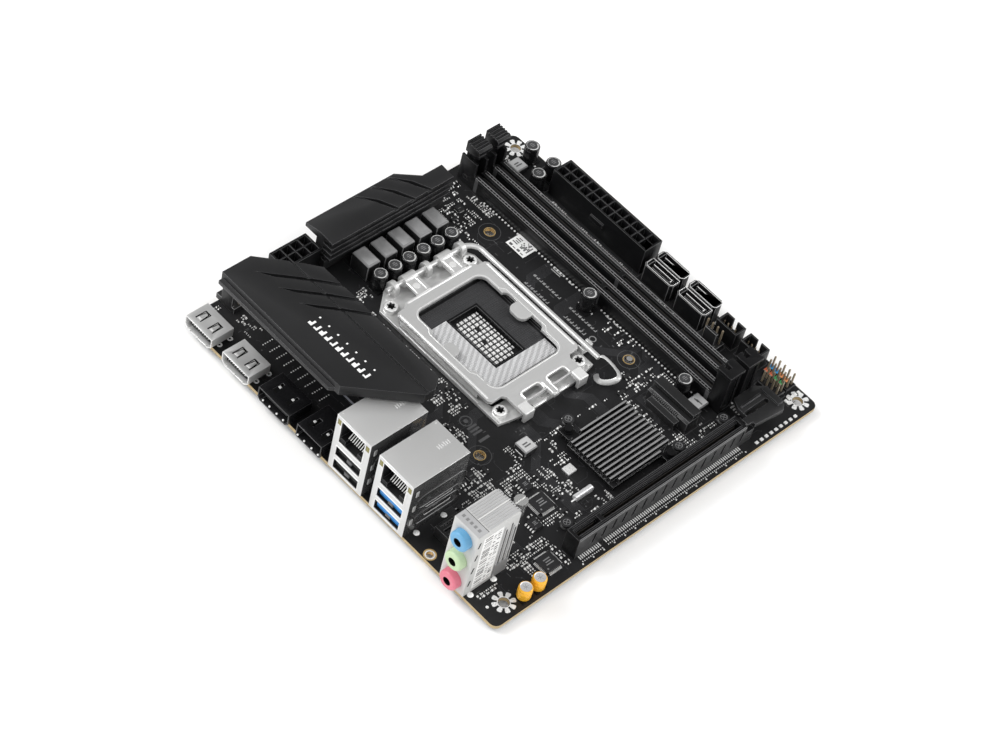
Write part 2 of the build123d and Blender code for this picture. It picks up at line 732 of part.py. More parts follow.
# ---------------------------------------------------------------- expansion slot
slot_left = expansion_slot_x - expansion_slot_length / 2
slot_right = expansion_slot_x + expansion_slot_length / 2
slot_low = expansion_slot_y - expansion_slot_width / 2
slot_high = expansion_slot_y + expansion_slot_width / 2
slot_key_x = 56.9
card_gap = 1.8
contact_shelf = top + expansion_slot_height

with BuildPart() as expansion_slot:
    bar(slot_left, slot_right, slot_low, slot_high, top, contact_shelf)
    for gap_left, gap_right in ((slot_left + 1.3, slot_key_x - 0.9), (slot_key_x + 0.9, slot_right - 1.3)):
        bar(
            gap_left, gap_right, expansion_slot_y - card_gap / 2, expansion_slot_y + card_gap / 2,
            top + 2.6, contact_shelf + 0.1, mode=Mode.SUBTRACT,
        )
        # Wider mouth above the contacts.
        bar(
            gap_left, gap_right, expansion_slot_y - 1.6, expansion_slot_y + 1.6,
            contact_shelf - 1.0, contact_shelf + 0.1, mode=Mode.SUBTRACT,
        )
    # Slanted moulding pockets along the outer wall.
    for pocket in range(16):
        pocket_x = 50.8 + 5.2 * pocket
        with BuildSketch(Plane.XZ.offset(-(slot_low - board_size / 2))):
            with BuildLine():
                Polyline(
                    (pocket_x - board_size / 2, top + 3.2),
                    (pocket_x + 1.1 - board_size / 2, top + 3.2),
                    (pocket_x + 2.2 - board_size / 2, top + 8.8),
                    (pocket_x + 1.1 - board_size / 2, top + 8.8),
                    close=True,
                )
            make_face()
        extrude(amount=-0.8, mode=Mode.SUBTRACT)
    # Fork at the end that holds the card retainer's pivot.
    bar(slot_right, slot_right + 5.0, slot_low, slot_low + 1.4, top, top + 6.6)
    bar(slot_right, slot_right + 5.0, slot_high - 1.4, slot_high, top, top + 6.6)
    with Locations(Plane.XZ.offset(-(slot_low - 2 - board_size / 2))):
        with Locations((retainer_pivot_x - board_size / 2, retainer_pivot_height)):
            Cylinder(
                latch_pin_radius + running_gap, 12,
                align=(Align.CENTER, Align.CENTER, Align.MAX), mode=Mode.SUBTRACT,
            )
save(expansion_slot, "expansion_slot")

with BuildPart() as expansion_contacts:
    for side in (-1, 1):
        strip_y = expansion_slot_y + side * (card_gap / 2 - 0.12)
        for strip_left, strip_right in ((slot_left + 2.2, slot_key_x - 1.6), (slot_key_x + 1.6, slot_right - 2.2)):
            bar(strip_left, strip_right, strip_y - 0.12, strip_y + 0.12, top + 2.6, top + 8.6)
save(expansion_contacts, "expansion_contacts")

retainer_half = expansion_slot_width / 2 - 1.7
with BuildPart() as card_retainer:
    # Neck between the fork's cheeks, then a long spoon-shaped lever with a slot in it.
    with BuildSketch(Plane.XZ.offset(-(expansion_slot_y - retainer_half - board_size / 2))):
        with BuildLine():
            Polyline(
                (133.2 - board_size / 2, top + 1.8),
                (137.8 - board_size / 2, top + 1.8),
                (139.6 - board_size / 2, top + 5.4),
                (139.6 - board_size / 2, top + 8.2),
                (134.4 - board_size / 2, top + 8.2),
                (132.4 - board_size / 2, top + 10.6),
                (132.0 - board_size / 2, top + 9.4),
                (133.2 - board_size / 2, top + 6.0),
                close=True,
            )
        make_face()
    extrude(amount=-2 * retainer_half)
    with BuildSketch(Plane.XY.offset(top + 6.2)):
        with BuildLine():
            Polyline(
                at(136.9, 5.0)[:2],
                at(150.8, 3.4)[:2],
                at(153.4, 5.4)[:2],
                at(153.4, 15.6)[:2],
                at(149.6, 18.4)[:2],
                at(139.0, 18.4)[:2],
                at(136.9, 14.0)[:2],
                close=True,
            )
        make_face()
        with Locations(at(143.4, 10.4)):
            SlotOverall(12.6, 2.2, mode=Mode.SUBTRACT)
    extrude(amount=2.0)
    bar(138.2, 148.6, 13.4, 14.2, top + 8.2, top + 8.9)
    bar(150.6, 153.4, 6.0, 15.0, top + 8.2, top + 9.0)
    with Locations(Plane.XZ.offset(-(slot_low - board_size / 2))):
        with Locations((retainer_pivot_x - board_size / 2, retainer_pivot_height)):
            Cylinder(
                latch_pin_radius, expansion_slot_width,
                align=(Align.CENTER, Align.CENTER, Align.MAX),
            )
save(card_retainer, "card_retainer")

# ---------------------------------------------------------------- display ports
shell = 0.4


def port_shell(y, width, height, depth, front, lift, corner):
    """Sheet shell of a port that faces -X: a tube with its lower corners cut, closed at the back."""
    plane = Plane.YZ.offset(front - board_size / 2)
    for inset, start, mode in ((0.0, 0.0, Mode.ADD), (shell, -0.1, Mode.SUBTRACT)):
        low = lift + inset
        high = lift + height - inset
        wide = width / 2 - inset
        cut = corner - inset * 0.6
        with BuildSketch(plane.offset(start)) as profile:
            with BuildLine():
                Polyline(
                    (y - wide - board_size / 2, high),
                    (y + wide - board_size / 2, high),
                    (y + wide - board_size / 2, low + cut),
                    (y + wide - cut - board_size / 2, low),
                    (y - wide + cut - board_size / 2, low),
                    (y - wide - board_size / 2, low + cut),
                    close=True,
                )
            make_face()
        extrude(profile.sketch, amount=depth - (shell if inset else 0) - start, mode=mode)


hdmi_places = [160.2, 139.2]
for number, port_y in enumerate(hdmi_places, start=1):
    with BuildPart() as hdmi_shell:
        port_shell(port_y, 14.9, 6.0, 10.6, -1.8, top, 1.8)
        # Two spring tongues stamped in the roof.
        for side in (-1, 1):
            with BuildSketch(Plane.XY.offset(top + 5.4)):
                with BuildLine():
                    Polyline(
                        at(0.6, port_y + side * 3.4 - 1.5)[:2],
                        at(5.6, port_y + side * 3.4 - 0.9)[:2],
                        at(5.6, port_y + side * 3.4 + 0.9)[:2],
                        at(0.6, port_y + side * 3.4 + 1.5)[:2],
                        close=True,
                    )
                make_face()
                with BuildLine():
                    Polyline(
                        at(0.5, port_y + side * 3.4 - 1.05)[:2],
                        at(5.1, port_y + side * 3.4 - 0.5)[:2],
                        at(5.1, port_y + side * 3.4 + 0.5)[:2],
                        at(0.5, port_y + side * 3.4 + 1.05)[:2],
                        close=True,
                    )
                make_face(mode=Mode.SUBTRACT)
            extrude(amount=1.0, mode=Mode.SUBTRACT)
    save(hdmi_shell, f"hdmi_shell_{number}")

with BuildPart() as displayport_shell:
    port_shell(117.8, 16.8, 6.6, 11.4, -1.8, top, 1.4)
    for side in (-1, 1):
        bar(1.6, 6.4, 117.8 + side * 4.0 - 0.5, 117.8 + side * 4.0 + 0.5, top + 6.0, top + 7.0, mode=Mode.SUBTRACT)
save(displayport_shell, "displayport_shell")

with BuildPart() as single_usb_shell:
    port_shell(98.5, 13.4, 6.6, 15.0, -1.5, top, 0.6)
    for side in (-1, 1):
        bar(2.4, 6.8, 98.5 + side * 3.0 - 0.8, 98.5 + side * 3.0 + 0.8, top + 6.0, top + 7.0, mode=Mode.SUBTRACT)
save(single_usb_shell, "single_usb_shell")

with BuildPart() as video_tongues:
    for port_y in hdmi_places:
        bar(-0.6, 8.4, port_y - 5.4, port_y + 5.4, top + 2.4, top + 3.6)
    bar(-0.4, 9.2, 117.8 - 6.0, 117.8 + 6.0, top + 3.0, top + 4.6)
    bar(0.0, 13.1, 98.5 - 5.4, 98.5 + 5.4, top + 3.6, top + 5.4)
save(video_tongues, "port_tongues")

# ---------------------------------------------------------------- network and USB stacks
stack_front = port_stack_front
stack_back = stack_front + port_stack_depth
usb_opening_heights = [top + 1.2, top + 8.4]
usb_opening_height = 5.2
usb_opening_width = 13.2
lan_opening_low = top + 16.2
lan_opening_high = top + 27.8
lan_opening_half = 6.2

for number, stack_y in enumerate(port_stack_y, start=1):
    half = port_stack_width / 2
    with BuildPart() as stack_shell:
        bar(stack_front, stack_back, stack_y - half, stack_y + half, top, top + port_stack_height)
        bar(
            stack_front + shell, stack_back - shell, stack_y - half + shell, stack_y + half - shell,
            top - 0.1, top + port_stack_height - shell, mode=Mode.SUBTRACT,
        )
        for opening in usb_opening_heights:
            bar(
                stack_front - 0.1, stack_front + shell + 0.1,
                stack_y - usb_opening_width / 2, stack_y + usb_opening_width / 2,
                opening, opening + usb_opening_height, mode=Mode.SUBTRACT,
            )
        bar(
            stack_front - 0.1, stack_front + shell + 0.1,
            stack_y - lan_opening_half, stack_y + lan_opening_half,
            lan_opening_low, lan_opening_high, mode=Mode.SUBTRACT,
        )
        # Lamp windows above the network port, and pressed ovals in both side walls.
        for side in (-1, 1):
            bar(
                stack_front - 0.1, stack_front + shell + 0.1,
                stack_y + side * 7.4 - 0.9, stack_y + side * 7.4 + 0.9,
                lan_opening_high - 3.4, lan_opening_high - 0.4, mode=Mode.SUBTRACT,
            )
        with BuildSketch(Plane.XZ.offset(-(stack_y - half - 0.1 - board_size / 2))):
            for low in (7.0, 12.0):
                with Locations((15.0 - board_size / 2, top + low)):
                    SlotOverall(13.0, 2.0)
        extrude(amount=-port_stack_width - 0.2, mode=Mode.SUBTRACT)
    save(stack_shell, f"port_stack_shell_{number}")

    # Plastic body of the stack: both USB housings and the network jack's cavity.
    with BuildPart() as stack_insert:
        bar(
            stack_front + shell, stack_back - shell - 0.1, stack_y - half + shell + 0.1, stack_y + half - shell - 0.1,
            top, top + port_stack_height - shell - 0.1,
        )
        for opening in usb_opening_heights:
            bar(
                stack_front, stack_front + shell + 11.6,
                stack_y - usb_opening_width / 2, stack_y + usb_opening_width / 2,
                opening, opening + usb_opening_height, mode=Mode.SUBTRACT,
            )
        bar(
            stack_front, stack_front + shell + 13.6,
            stack_y - lan_opening_half + 0.3, stack_y + lan_opening_half - 0.3,
            lan_opening_low + 2.4, lan_opening_high, mode=Mode.SUBTRACT,
        )
        bar(
            stack_front, stack_front + shell + 13.6,
            stack_y - 3.2, stack_y + 3.2,
            lan_opening_low, lan_opening_low + 2.5, mode=Mode.SUBTRACT,
        )
        for side in (-1, 1):
            bar(
                stack_front, stack_front + shell + 20.0,
                stack_y + side * 7.4 - 0.9, stack_y + side * 7.4 + 0.9,
                lan_opening_high - 3.4, lan_opening_high - 0.4, mode=Mode.SUBTRACT,
            )
    save(stack_insert, f"port_stack_insert_{number}")

    # USB tongues, one under the roof of each opening.
    with BuildPart() as usb_tongues:
        for opening in usb_opening_heights:
            bar(
                stack_front + 1.0, stack_front + shell + 11.6, stack_y - 5.6, stack_y + 5.6,
                opening + 2.6, opening + 4.5,
            )
    save(usb_tongues, f"usb_tongues_{number}")

with BuildPart() as lan_contacts:
    for stack_y in port_stack_y:
        with Locations(at(stack_front + 7.6, stack_y, lan_opening_high - 1.5)):
            with GridLocations(1, 1.02, 1, 8):
                Box(9.0, 0.4, 0.4)
save(lan_contacts, "lan_contacts")

with BuildPart() as lan_light_pipes:
    for stack_y in port_stack_y:
        for side in (-1, 1):
            bar(
                stack_front + 0.1, stack_front + shell + 19.9,
                stack_y + side * 7.4 - 0.85, stack_y + side * 7.4 + 0.85,
                lan_opening_high - 3.35, lan_opening_high - 0.45,
            )
save(lan_light_pipes, "lan_light_pipes")

# ---------------------------------------------------------------- audio jacks
audio_block_front = -0.2
audio_block_back = 20.4
audio_block_half = 6.1
audio_block_height = 34.6
jack_depths = [14.2, 14.6, 15.0]
bore_point = 1.5
jack_radius = 4.1

with BuildPart() as audio_housing:
    bar(
        audio_block_front, audio_block_back, audio_y - audio_block_half, audio_y + audio_block_half,
        top, top + audio_block_height,
    )
    chamfer(audio_housing.edges().filter_by(Axis.Y).group_by(Axis.Z)[-1].sort_by(Axis.X)[-1], length=1.2)
    for jack_height, bore_depth in zip(audio_jack_heights, jack_depths):
        with Locations(Plane.YZ.offset(audio_block_front - board_size / 2)):
            with Locations((audio_y - board_size / 2, jack_height)):
                Cylinder(jack_radius, 2.0, align=on_base, mode=Mode.SUBTRACT)
                Cylinder(audio_bore_radius, bore_depth, align=on_base, mode=Mode.SUBTRACT)
                with Locations((0, 0, bore_depth)):
                    Cone(audio_bore_radius, 0.2, bore_point, align=on_base, mode=Mode.SUBTRACT)
save(audio_housing, "audio_housing")

for jack_name, jack_height in zip(("lower", "middle", "upper"), audio_jack_heights):
    with BuildPart() as audio_jack:
        with BuildSketch(Plane.YZ.offset(audio_front - board_size / 2)):
            with Locations((audio_y - board_size / 2, jack_height)):
                Circle(jack_radius)
                Circle(audio_bore_radius, mode=Mode.SUBTRACT)
        extrude(amount=audio_block_front + 2.0 - audio_front)
        fillet(audio_jack.edges().group_by(Axis.X)[0].sort_by(SortBy.LENGTH)[-1], radius=1.0)
    save(audio_jack, f"audio_jack_{jack_name}")

# ---------------------------------------------------------------- drive ports
drive_port_height = 8.8
drive_stacks = [52.7, 70.4]
drive_left = 157.8
drive_length = 15.4

for number, stack_low in enumerate(drive_stacks, start=1):
    with BuildPart() as drive_ports:
        bar(drive_left, drive_left + 5.8, stack_low, stack_low + drive_length, top, top + drive_port_height)
        bar(
            drive_left + 6.4, drive_left + 12.1, stack_low + 0.6, stack_low + drive_length,
            top, top + drive_port_height,
        )
        bar(drive_left + 5.8, drive_left + 6.4, stack_low + 2.4, stack_low + 13.0, top, top + 6.4)
        chamfer(
            drive_ports.edges().filter_by(Axis.Z).filter_by(
                lambda e: e.length > drive_port_height - 0.1
            ),
            length=1.2,
        )
        for well_left in (drive_left + 0.65, drive_left + 7.0):
            bar(
                well_left, well_left + 4.5, stack_low + 1.4, stack_low + 13.6,
                top + 2.0, top + drive_port_height + 0.1, mode=Mode.SUBTRACT,
            )
            # L-shaped contact tongue standing in the well.
            bar(well_left + 1.5, well_left + 2.7, stack_low + 2.4, stack_low + 12.4, top + 2.0, top + 7.8)
            bar(well_left + 2.7, well_left + 4.0, stack_low + 2.4, stack_low + 3.6, top + 2.0, top + 7.8)
    save(drive_ports, f"drive_ports_{number}")

with BuildPart() as drive_contacts:
    for stack_low in drive_stacks:
        for well_left in (drive_left + 0.65, drive_left + 7.0):
            with Locations(at(well_left + 2.8, stack_low + 8.0, top + 2.0)):
                with GridLocations(1, 1.27, 1, 7):
                    Box(0.2, 0.7, 4.6, align=on_base)
save(drive_contacts, "drive_contacts")

# ---------------------------------------------------------------- pin headers
box_headers = [(162.0, 39.2), (162.0, 26.5)]
fan_headers = [(154.6, 41.6), (16.6, 161.6)]
pin_side = 0.5

with BuildPart() as header_shrouds:
    for header_x, header_y in box_headers:
        bar(header_x, header_x + 6.0, header_y, header_y + 10.2, top, top + 8.4)
        bar(header_x + 0.7, header_x + 5.3, header_y + 0.7, header_y + 9.5, top + 1.6, top + 8.5, mode=Mode.SUBTRACT)
        bar(header_x + 5.2, header_x + 6.1, header_y + 4.2, header_y + 6.0, top + 3.0, top + 8.5, mode=Mode.SUBTRACT)
save(header_shrouds, "header_shrouds")

with BuildPart() as pin_header_bases:
    bar(163.4, 168.5, 11.4, 24.1, top, top + 2.5)
    bar(157.4, 162.5, 11.4, 21.6, top, top + 2.5)
save(pin_header_bases, "pin_header_bases")

with BuildPart() as header_pins:
    for header_x, header_y in box_headers:
        with Locations(at(header_x + 3.0, header_y + 5.1, top + 1.6)):
            with GridLocations(2.0, 1.9, 2, 5):
                Box(pin_side, pin_side, 4.4, align=on_base)
    with Locations(at(165.95, 17.75, top + 2.5)):
        with GridLocations(2.54, 2.54, 2, 5):
            Box(0.64, 0.64, 6.0, align=on_base)
    with Locations(at(159.95, 16.5, top + 2.5)):
        with GridLocations(2.54, 2.54, 2, 4):
            Box(0.64, 0.64, 6.0, align=on_base)
    for fan_x, fan_y in fan_headers:
        with Locations(at(fan_x + 3.4, fan_y + 5.1, top + 2.6)):
            with GridLocations(1, 2.54, 1, 4):
                Box(0.64, 0.64, 7.6, align=on_base)
save(header_pins, "header_pins")
with BuildPart() as fan_header_bodies:
    for fan_x, fan_y in fan_headers:
        bar(fan_x, fan_x + 5.4, fan_y, fan_y + 10.2, top, top + 2.6)
        bar(fan_x, fan_x + 1.1, fan_y + 1.4, fan_y + 7.4, top + 2.6, top + 9.6)
save(fan_header_bodies, "fan_headers")


# ---------------------------------------------------------------- storage card connector
card_y = 32.4
card_plane = top + 6.4

with BuildPart() as card_connector:
    # Tall upper jaw, with a low ribbed jaw in front of it and the card's slot between them.
    with BuildSketch(Plane.XZ.offset(-(21.2 - board_size / 2))):
        with BuildLine():
            Polyline(
                (117.4 - board_size / 2, top),
                (124.0 - board_size / 2, top),
                (124.0 - board_size / 2, top + 8.6),
                (119.9 - board_size / 2, top + 8.6),
                (119.9 - board_size / 2, card_plane + 0.5),
                (122.8 - board_size / 2, card_plane + 0.5),
                (122.8 - board_size / 2, card_plane - 0.6),
                (118.4 - board_size / 2, card_plane - 0.6),
                (117.4 - board_size / 2, card_plane - 1.4),
                close=True,
            )
        make_face()
    extrude(amount=-20.8)
    bar(114.8, 117.4, 25.0, 39.6, top, top + 3.6)
    for contact in range(16):
        contact_y = 26.6 + 0.84 * contact
        bar(117.3, 118.3, contact_y, contact_y + 0.42, top + 3.8, top + 6.0, mode=Mode.SUBTRACT)
    # The wireless card's upright connector behind the audio jacks, with three long slots.
    bar(9.6, 31.6, 35.6, 42.8, top, top + 4.9)
    bar(10.8, 30.4, 38.7, 39.7, top + 1.0, top + 5.0, mode=Mode.SUBTRACT)
    for cell in range(15):
        cell_x = 11.0 + 1.3 * cell
        for cell_y in (36.7, 40.9):
            bar(cell_x, cell_x + 0.8, cell_y, cell_y + 0.8, top + 3.0, top + 5.0, mode=Mode.SUBTRACT)
save(card_connector, "card_connector")

with BuildPart() as card_standoff:
    with Locations(at(41.3, card_y - 0.4, top)):
        Cylinder(2.3, card_plane - 0.6 - top, align=on_base)
    with Locations(at(41.3, card_y - 0.4, card_plane - 0.6)):
        Cylinder(2.6, 1.5, align=on_base)
    with Locations(at(41.3, card_y - 0.4, card_plane + 0.2)):
        Box(6.0, 0.7, 1.0, align=on_base, mode=Mode.SUBTRACT)
save(card_standoff, "card_standoff")

# ---------------------------------------------------------------- chipset and its cooler
chip_x = 91.2
chip_y = 30.8
fin_pitch = 2.03
with BuildPart() as chipset:
    with Locations(at(chip_x, chip_y, top)):
        Box(20.0, 18.0, 1.2, align=on_base)
    with Locations(at(chip_x, chip_y, top + 1.2)):
        Box(9.0, 7.0, 0.6, align=on_base)
save(chipset, "chipset")

chip_sink_base = top + 1.8
chip_sink_floor = chip_sink_base + 1.2
with BuildPart() as chipset_heatsink:
    with BuildSketch(Plane.XY.offset(chip_sink_base)):
        with BuildLine():
            Polyline(
                at(75.4, 17.8)[:2],
                at(101.0, 17.8)[:2],
                at(107.3, 20.6)[:2],
                at(107.3, 44.0)[:2],
                at(81.4, 44.0)[:2],
                at(75.4, 42.0)[:2],
                close=True,
            )
        make_face()
    extrude(amount=chip_sink_floor - chip_sink_base)
    for fin in range(13):
        fin_y = chip_y + fin_pitch * (fin - 6)
        fin_left = 75.9
        fin_right = 106.8
        if fin == 0:
            fin_left = 78.4
            fin_right = 100.6
        if fin == 12:
            fin_left = 82.6
        bar(fin_left, fin_right, fin_y - 0.38, fin_y + 0.38, chip_sink_floor, top + 5.2)
    # Ears for the two push pins.
    for ear_x, ear_y in push_pins:
        side = 1 if ear_y > chip_y else -1
        bar(
            ear_x - 2.6, ear_x + 2.6,
            min(ear_y + side * 2.4, chip_y + side * 12.4), max(ear_y + side * 2.4, chip_y + side * 12.4),
            chip_sink_base, chip_sink_floor,
        )
        with Locations(at(ear_x, ear_y, chip_sink_base - 0.1)):
            Cylinder(1.5, 2.0, align=on_base, mode=Mode.SUBTRACT)
save(chipset_heatsink, "chipset_heatsink")

with BuildPart() as push_pin_set:
    for pin_x, pin_y in push_pins:
        with Locations(at(pin_x, pin_y, chip_sink_floor)):
            Cylinder(1.9, 0.7, align=on_base)
            Cylinder(1.1, 1.9, align=on_base)
        with Locations(at(pin_x, pin_y, chip_sink_floor + 1.5)):
            Cylinder(1.7, 0.8, align=on_base)
        with Locations(at(pin_x, pin_y, -1.2)):
            Cylinder(1.2, chip_sink_floor + 1.2, align=on_base)
save(push_pin_set, "push_pins")
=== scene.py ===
import json
import math
import random

import bmesh
import bpy
from mathutils import Matrix, Vector

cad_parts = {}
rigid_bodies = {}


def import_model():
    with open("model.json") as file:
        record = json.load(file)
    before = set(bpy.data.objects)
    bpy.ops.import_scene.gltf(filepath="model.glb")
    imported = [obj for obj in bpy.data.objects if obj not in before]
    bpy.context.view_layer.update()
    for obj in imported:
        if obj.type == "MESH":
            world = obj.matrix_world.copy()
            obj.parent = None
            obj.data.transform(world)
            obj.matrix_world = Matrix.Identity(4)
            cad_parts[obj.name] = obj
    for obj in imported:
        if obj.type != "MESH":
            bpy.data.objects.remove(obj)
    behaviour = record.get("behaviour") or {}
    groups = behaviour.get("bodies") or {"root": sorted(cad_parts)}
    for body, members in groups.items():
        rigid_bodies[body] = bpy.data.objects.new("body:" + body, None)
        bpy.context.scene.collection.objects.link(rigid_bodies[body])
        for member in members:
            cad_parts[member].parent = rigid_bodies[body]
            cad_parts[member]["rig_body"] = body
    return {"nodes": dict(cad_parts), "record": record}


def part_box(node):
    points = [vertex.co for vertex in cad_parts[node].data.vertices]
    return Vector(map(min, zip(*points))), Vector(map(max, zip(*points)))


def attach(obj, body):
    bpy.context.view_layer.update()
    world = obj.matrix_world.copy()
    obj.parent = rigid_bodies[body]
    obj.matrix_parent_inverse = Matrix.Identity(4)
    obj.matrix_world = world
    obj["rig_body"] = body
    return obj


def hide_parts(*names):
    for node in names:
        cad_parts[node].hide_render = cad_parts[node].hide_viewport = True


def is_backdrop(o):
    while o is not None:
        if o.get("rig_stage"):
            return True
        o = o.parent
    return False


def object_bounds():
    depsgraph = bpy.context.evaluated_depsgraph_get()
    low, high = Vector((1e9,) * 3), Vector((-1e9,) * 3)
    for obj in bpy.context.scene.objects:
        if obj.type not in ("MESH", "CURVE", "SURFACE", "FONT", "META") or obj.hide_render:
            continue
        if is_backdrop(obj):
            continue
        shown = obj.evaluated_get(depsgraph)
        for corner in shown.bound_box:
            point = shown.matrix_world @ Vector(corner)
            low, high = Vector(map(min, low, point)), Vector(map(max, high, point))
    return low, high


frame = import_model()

cad_low, cad_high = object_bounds()
nodes = frame["nodes"]
slots = {row["node"]: row["material_slot"] for row in frame["record"]["subparts"]}

# Places on the board are given in millimetres from its corner between the rear edge and the
# expansion slot's edge, with heights above the board's component side.
MM = 0.001
pcb_low, pcb_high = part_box("pcb")
CORNER = Vector((pcb_low.x, pcb_low.y, pcb_high.z))
THICK = (pcb_high.z - pcb_low.z) / MM


PRINT_HIGH = 0.035
TRACK_HIGH = 0.02
# Edges that bend by more than this are sharp, and are bevelled on the CAD shapes.
SHARP = math.radians(32)
# Rows of equal parts, by the middle of each.
STACK_ROWS = (57.2, 79.4)
HDMI_ROWS = (160.2, 139.2)
MEMORY_ROWS = (137.8, 147.96)
COOLER_HOLES = [(47.42, 58.83), (47.42, 136.83), (125.42, 58.83), (125.42, 136.83)]
MOUNT_HOLES = [(10.16, 6.35), (165.10, 6.35), (33.02, 163.83), (165.10, 163.83)]
GROUND_HOLE = (2.7, 36.9)
PIN_PITCH = 2.54
AUDIO_CANS = ((17.5, 4.1), (24.4, 4.1))
DRUM_COILS = ((51.2, 17.2), (84.7, 50.9), (110.1, 17.5), (133.9, 16.8))


def span(node):
    """A node's box in board millimetres: x0, x1, y0, y1, z0, z1."""
    low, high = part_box(node)
    low = (low - CORNER) / MM
    high = (high - CORNER) / MM
    return low.x, high.x, low.y, high.y, low.z, high.z


# ------------------------------------------------------------------ materials
mats = {}


def coords(tree, scale=(1, 1, 1), rotation=(0, 0, 0)):
    """Object coordinates, stretched and turned."""
    where = tree.nodes.new("ShaderNodeTexCoord")
    mapping = tree.nodes.new("ShaderNodeMapping")
    mapping.inputs["Scale"].default_value = scale
    mapping.inputs["Rotation"].default_value = rotation
    tree.links.new(where.outputs["Object"], mapping.inputs["Vector"])
    return mapping.outputs["Vector"]


def noise(tree, vector, scale, detail=4.0):
    """Noise of about the given number of grains to the metre."""
    tex = tree.nodes.new("ShaderNodeTexNoise")
    tex.inputs["Scale"].default_value = scale
    tex.inputs["Detail"].default_value = detail
    tex.inputs["Roughness"].default_value = 0.6
    tree.links.new(vector, tex.inputs["Vector"])
    return tex.outputs["Fac"]


def ramp(tree, fac, stops):
    """A colour ramp through (place, colour) stops."""
    node = tree.nodes.new("ShaderNodeValToRGB")
    elements = node.color_ramp.elements
    while len(elements) < len(stops):
        elements.new(0.5)
    for element, (place, colour) in zip(elements, stops):
        element.position = place
        element.color = (*colour, 1.0)
    tree.links.new(fac, node.inputs["Fac"])
    return node.outputs["Color"]


def remap(tree, fac, low, high):
    """Spreads the middle of a noise's range from low to high."""
    node = tree.nodes.new("ShaderNodeMapRange")
    node.inputs["From Min"].default_value = 0.3
    node.inputs["From Max"].default_value = 0.7
    node.inputs["To Min"].default_value = low
    node.inputs["To Max"].default_value = high
    tree.links.new(fac, node.inputs["Value"])
    return node.outputs["Result"]


def shade(colour, factor):
    return tuple(min(1.0, c * factor) for c in colour)


def finish(name, colour, rough, metal=0.0, spread=0.10, mottle=90.0,
           grain=1500.0, depth=0.00001, stretch=(1, 1, 1), spec=0.5, stripes=None):
    """A surface with slow colour mottling, uneven gloss and a fine grain or brushing."""
    mat = bpy.data.materials.new(name)
    mat.use_nodes = True
    tree = mat.node_tree
    shader = tree.nodes["Principled BSDF"]
    # Uneven gloss looks like dirt on bright metal, so it gets much less of it.
    is_metal = metal > 0.25
    uneven = 0.012 if is_metal else 0.07
    shader.inputs["Metallic"].default_value = metal
    shader.inputs["Specular IOR Level"].default_value = spec
    low, high = shade(colour, 1 - spread), shade(colour, 1 + spread)
    if stripes:
        wave = tree.nodes.new("ShaderNodeTexWave")
        wave.inputs["Scale"].default_value = stripes[0]
        wave.inputs["Distortion"].default_value = 1.2
        wave.inputs["Detail"].default_value = 2.0
        wave.inputs["Detail Scale"].default_value = 1.5
        tree.links.new(coords(tree, (1, 1, 1), (0, 0, stripes[1])), wave.inputs["Vector"])
        slow = wave.outputs["Fac"]
    else:
        slow = noise(tree, coords(tree, stretch), mottle)
    tree.links.new(ramp(tree, slow, [(0.3, low), (0.7, high)]), shader.inputs["Base Color"])
    fine = noise(tree, coords(tree, stretch), grain, 1.0 if is_metal else 3.0)
    gloss = remap(tree, fine, max(0.03, rough - uneven), min(1.0, rough + uneven))
    tree.links.new(gloss, shader.inputs["Roughness"])
    relief = tree.nodes.new("ShaderNodeBump")
    relief.inputs["Distance"].default_value = depth
    tree.links.new(fine, relief.inputs["Height"])
    tree.links.new(relief.outputs["Normal"], shader.inputs["Normal"])
    mats[name] = mat


# The record's slots.
finish("board", (0.0095, 0.0095, 0.0102), 0.42, spread=0.22, mottle=60, spec=0.35)
finish("black_plastic", (0.0055, 0.0055, 0.006), 0.40, spread=0.2, grain=1800, depth=0.000012,
       spec=0.2)
finish("dark_film", (0.016, 0.016, 0.017), 0.5, grain=700, depth=0.000006, spread=0.12)
finish("ivory_plastic", (0.52, 0.52, 0.51), 0.42, spread=0.05, spec=0.3)
finish("grey_plastic", (0.013, 0.013, 0.0135), 0.38, spread=0.12, grain=1600, spec=0.35)
finish("blue_plastic", (0.006, 0.19, 0.52), 0.36)
finish("sky_plastic", (0.12, 0.34, 0.56), 0.34, spread=0.06)
finish("lime_plastic", (0.45, 0.58, 0.36), 0.34, spread=0.06)
finish("pink_plastic", (0.62, 0.155, 0.215), 0.34, spread=0.06)
finish("lamp_plastic", (0.20, 0.18, 0.05), 0.2, grain=900, depth=0.000005)
finish("chip_epoxy", (0.016, 0.016, 0.017), 0.42, spread=0.2, grain=2600, depth=0.000012, spec=0.4)
finish("pad", (0.30, 0.31, 0.35), 0.7, grain=1200, depth=0.00002, spread=0.12)
finish("anodised", (0.0135, 0.0135, 0.0142), 0.44, 0.2, spread=0.15, mottle=45, grain=2600,
       depth=0.00001, spec=0.4)
finish("bare_fins", (0.0055, 0.0055, 0.006), 0.5, spread=0.15, grain=2200, spec=0.2)
finish("steel", (0.62, 0.62, 0.615), 0.30, 0.45, spread=0.03, mottle=60, grain=700, depth=0.000001,
       stretch=(1, 6, 1))
finish("zinc_screw", (0.74, 0.74, 0.73), 0.24, 0.8, spread=0.05, grain=1600, depth=0.000001)
finish("shell_plate", (0.62, 0.62, 0.615), 0.30, 0.55, spread=0.03, mottle=40, grain=900,
       depth=0.0000008, stretch=(1, 1, 4))
finish("black_shell", (0.010, 0.010, 0.011), 0.25, 0.3, spread=0.12, grain=1200, depth=0.000001)
finish("gold", (0.86, 0.60, 0.26), 0.25, 0.6, spread=0.08, depth=0.000002)
finish("contact_gold", (0.62, 0.60, 0.56), 0.30, 0.9, depth=0.000002)
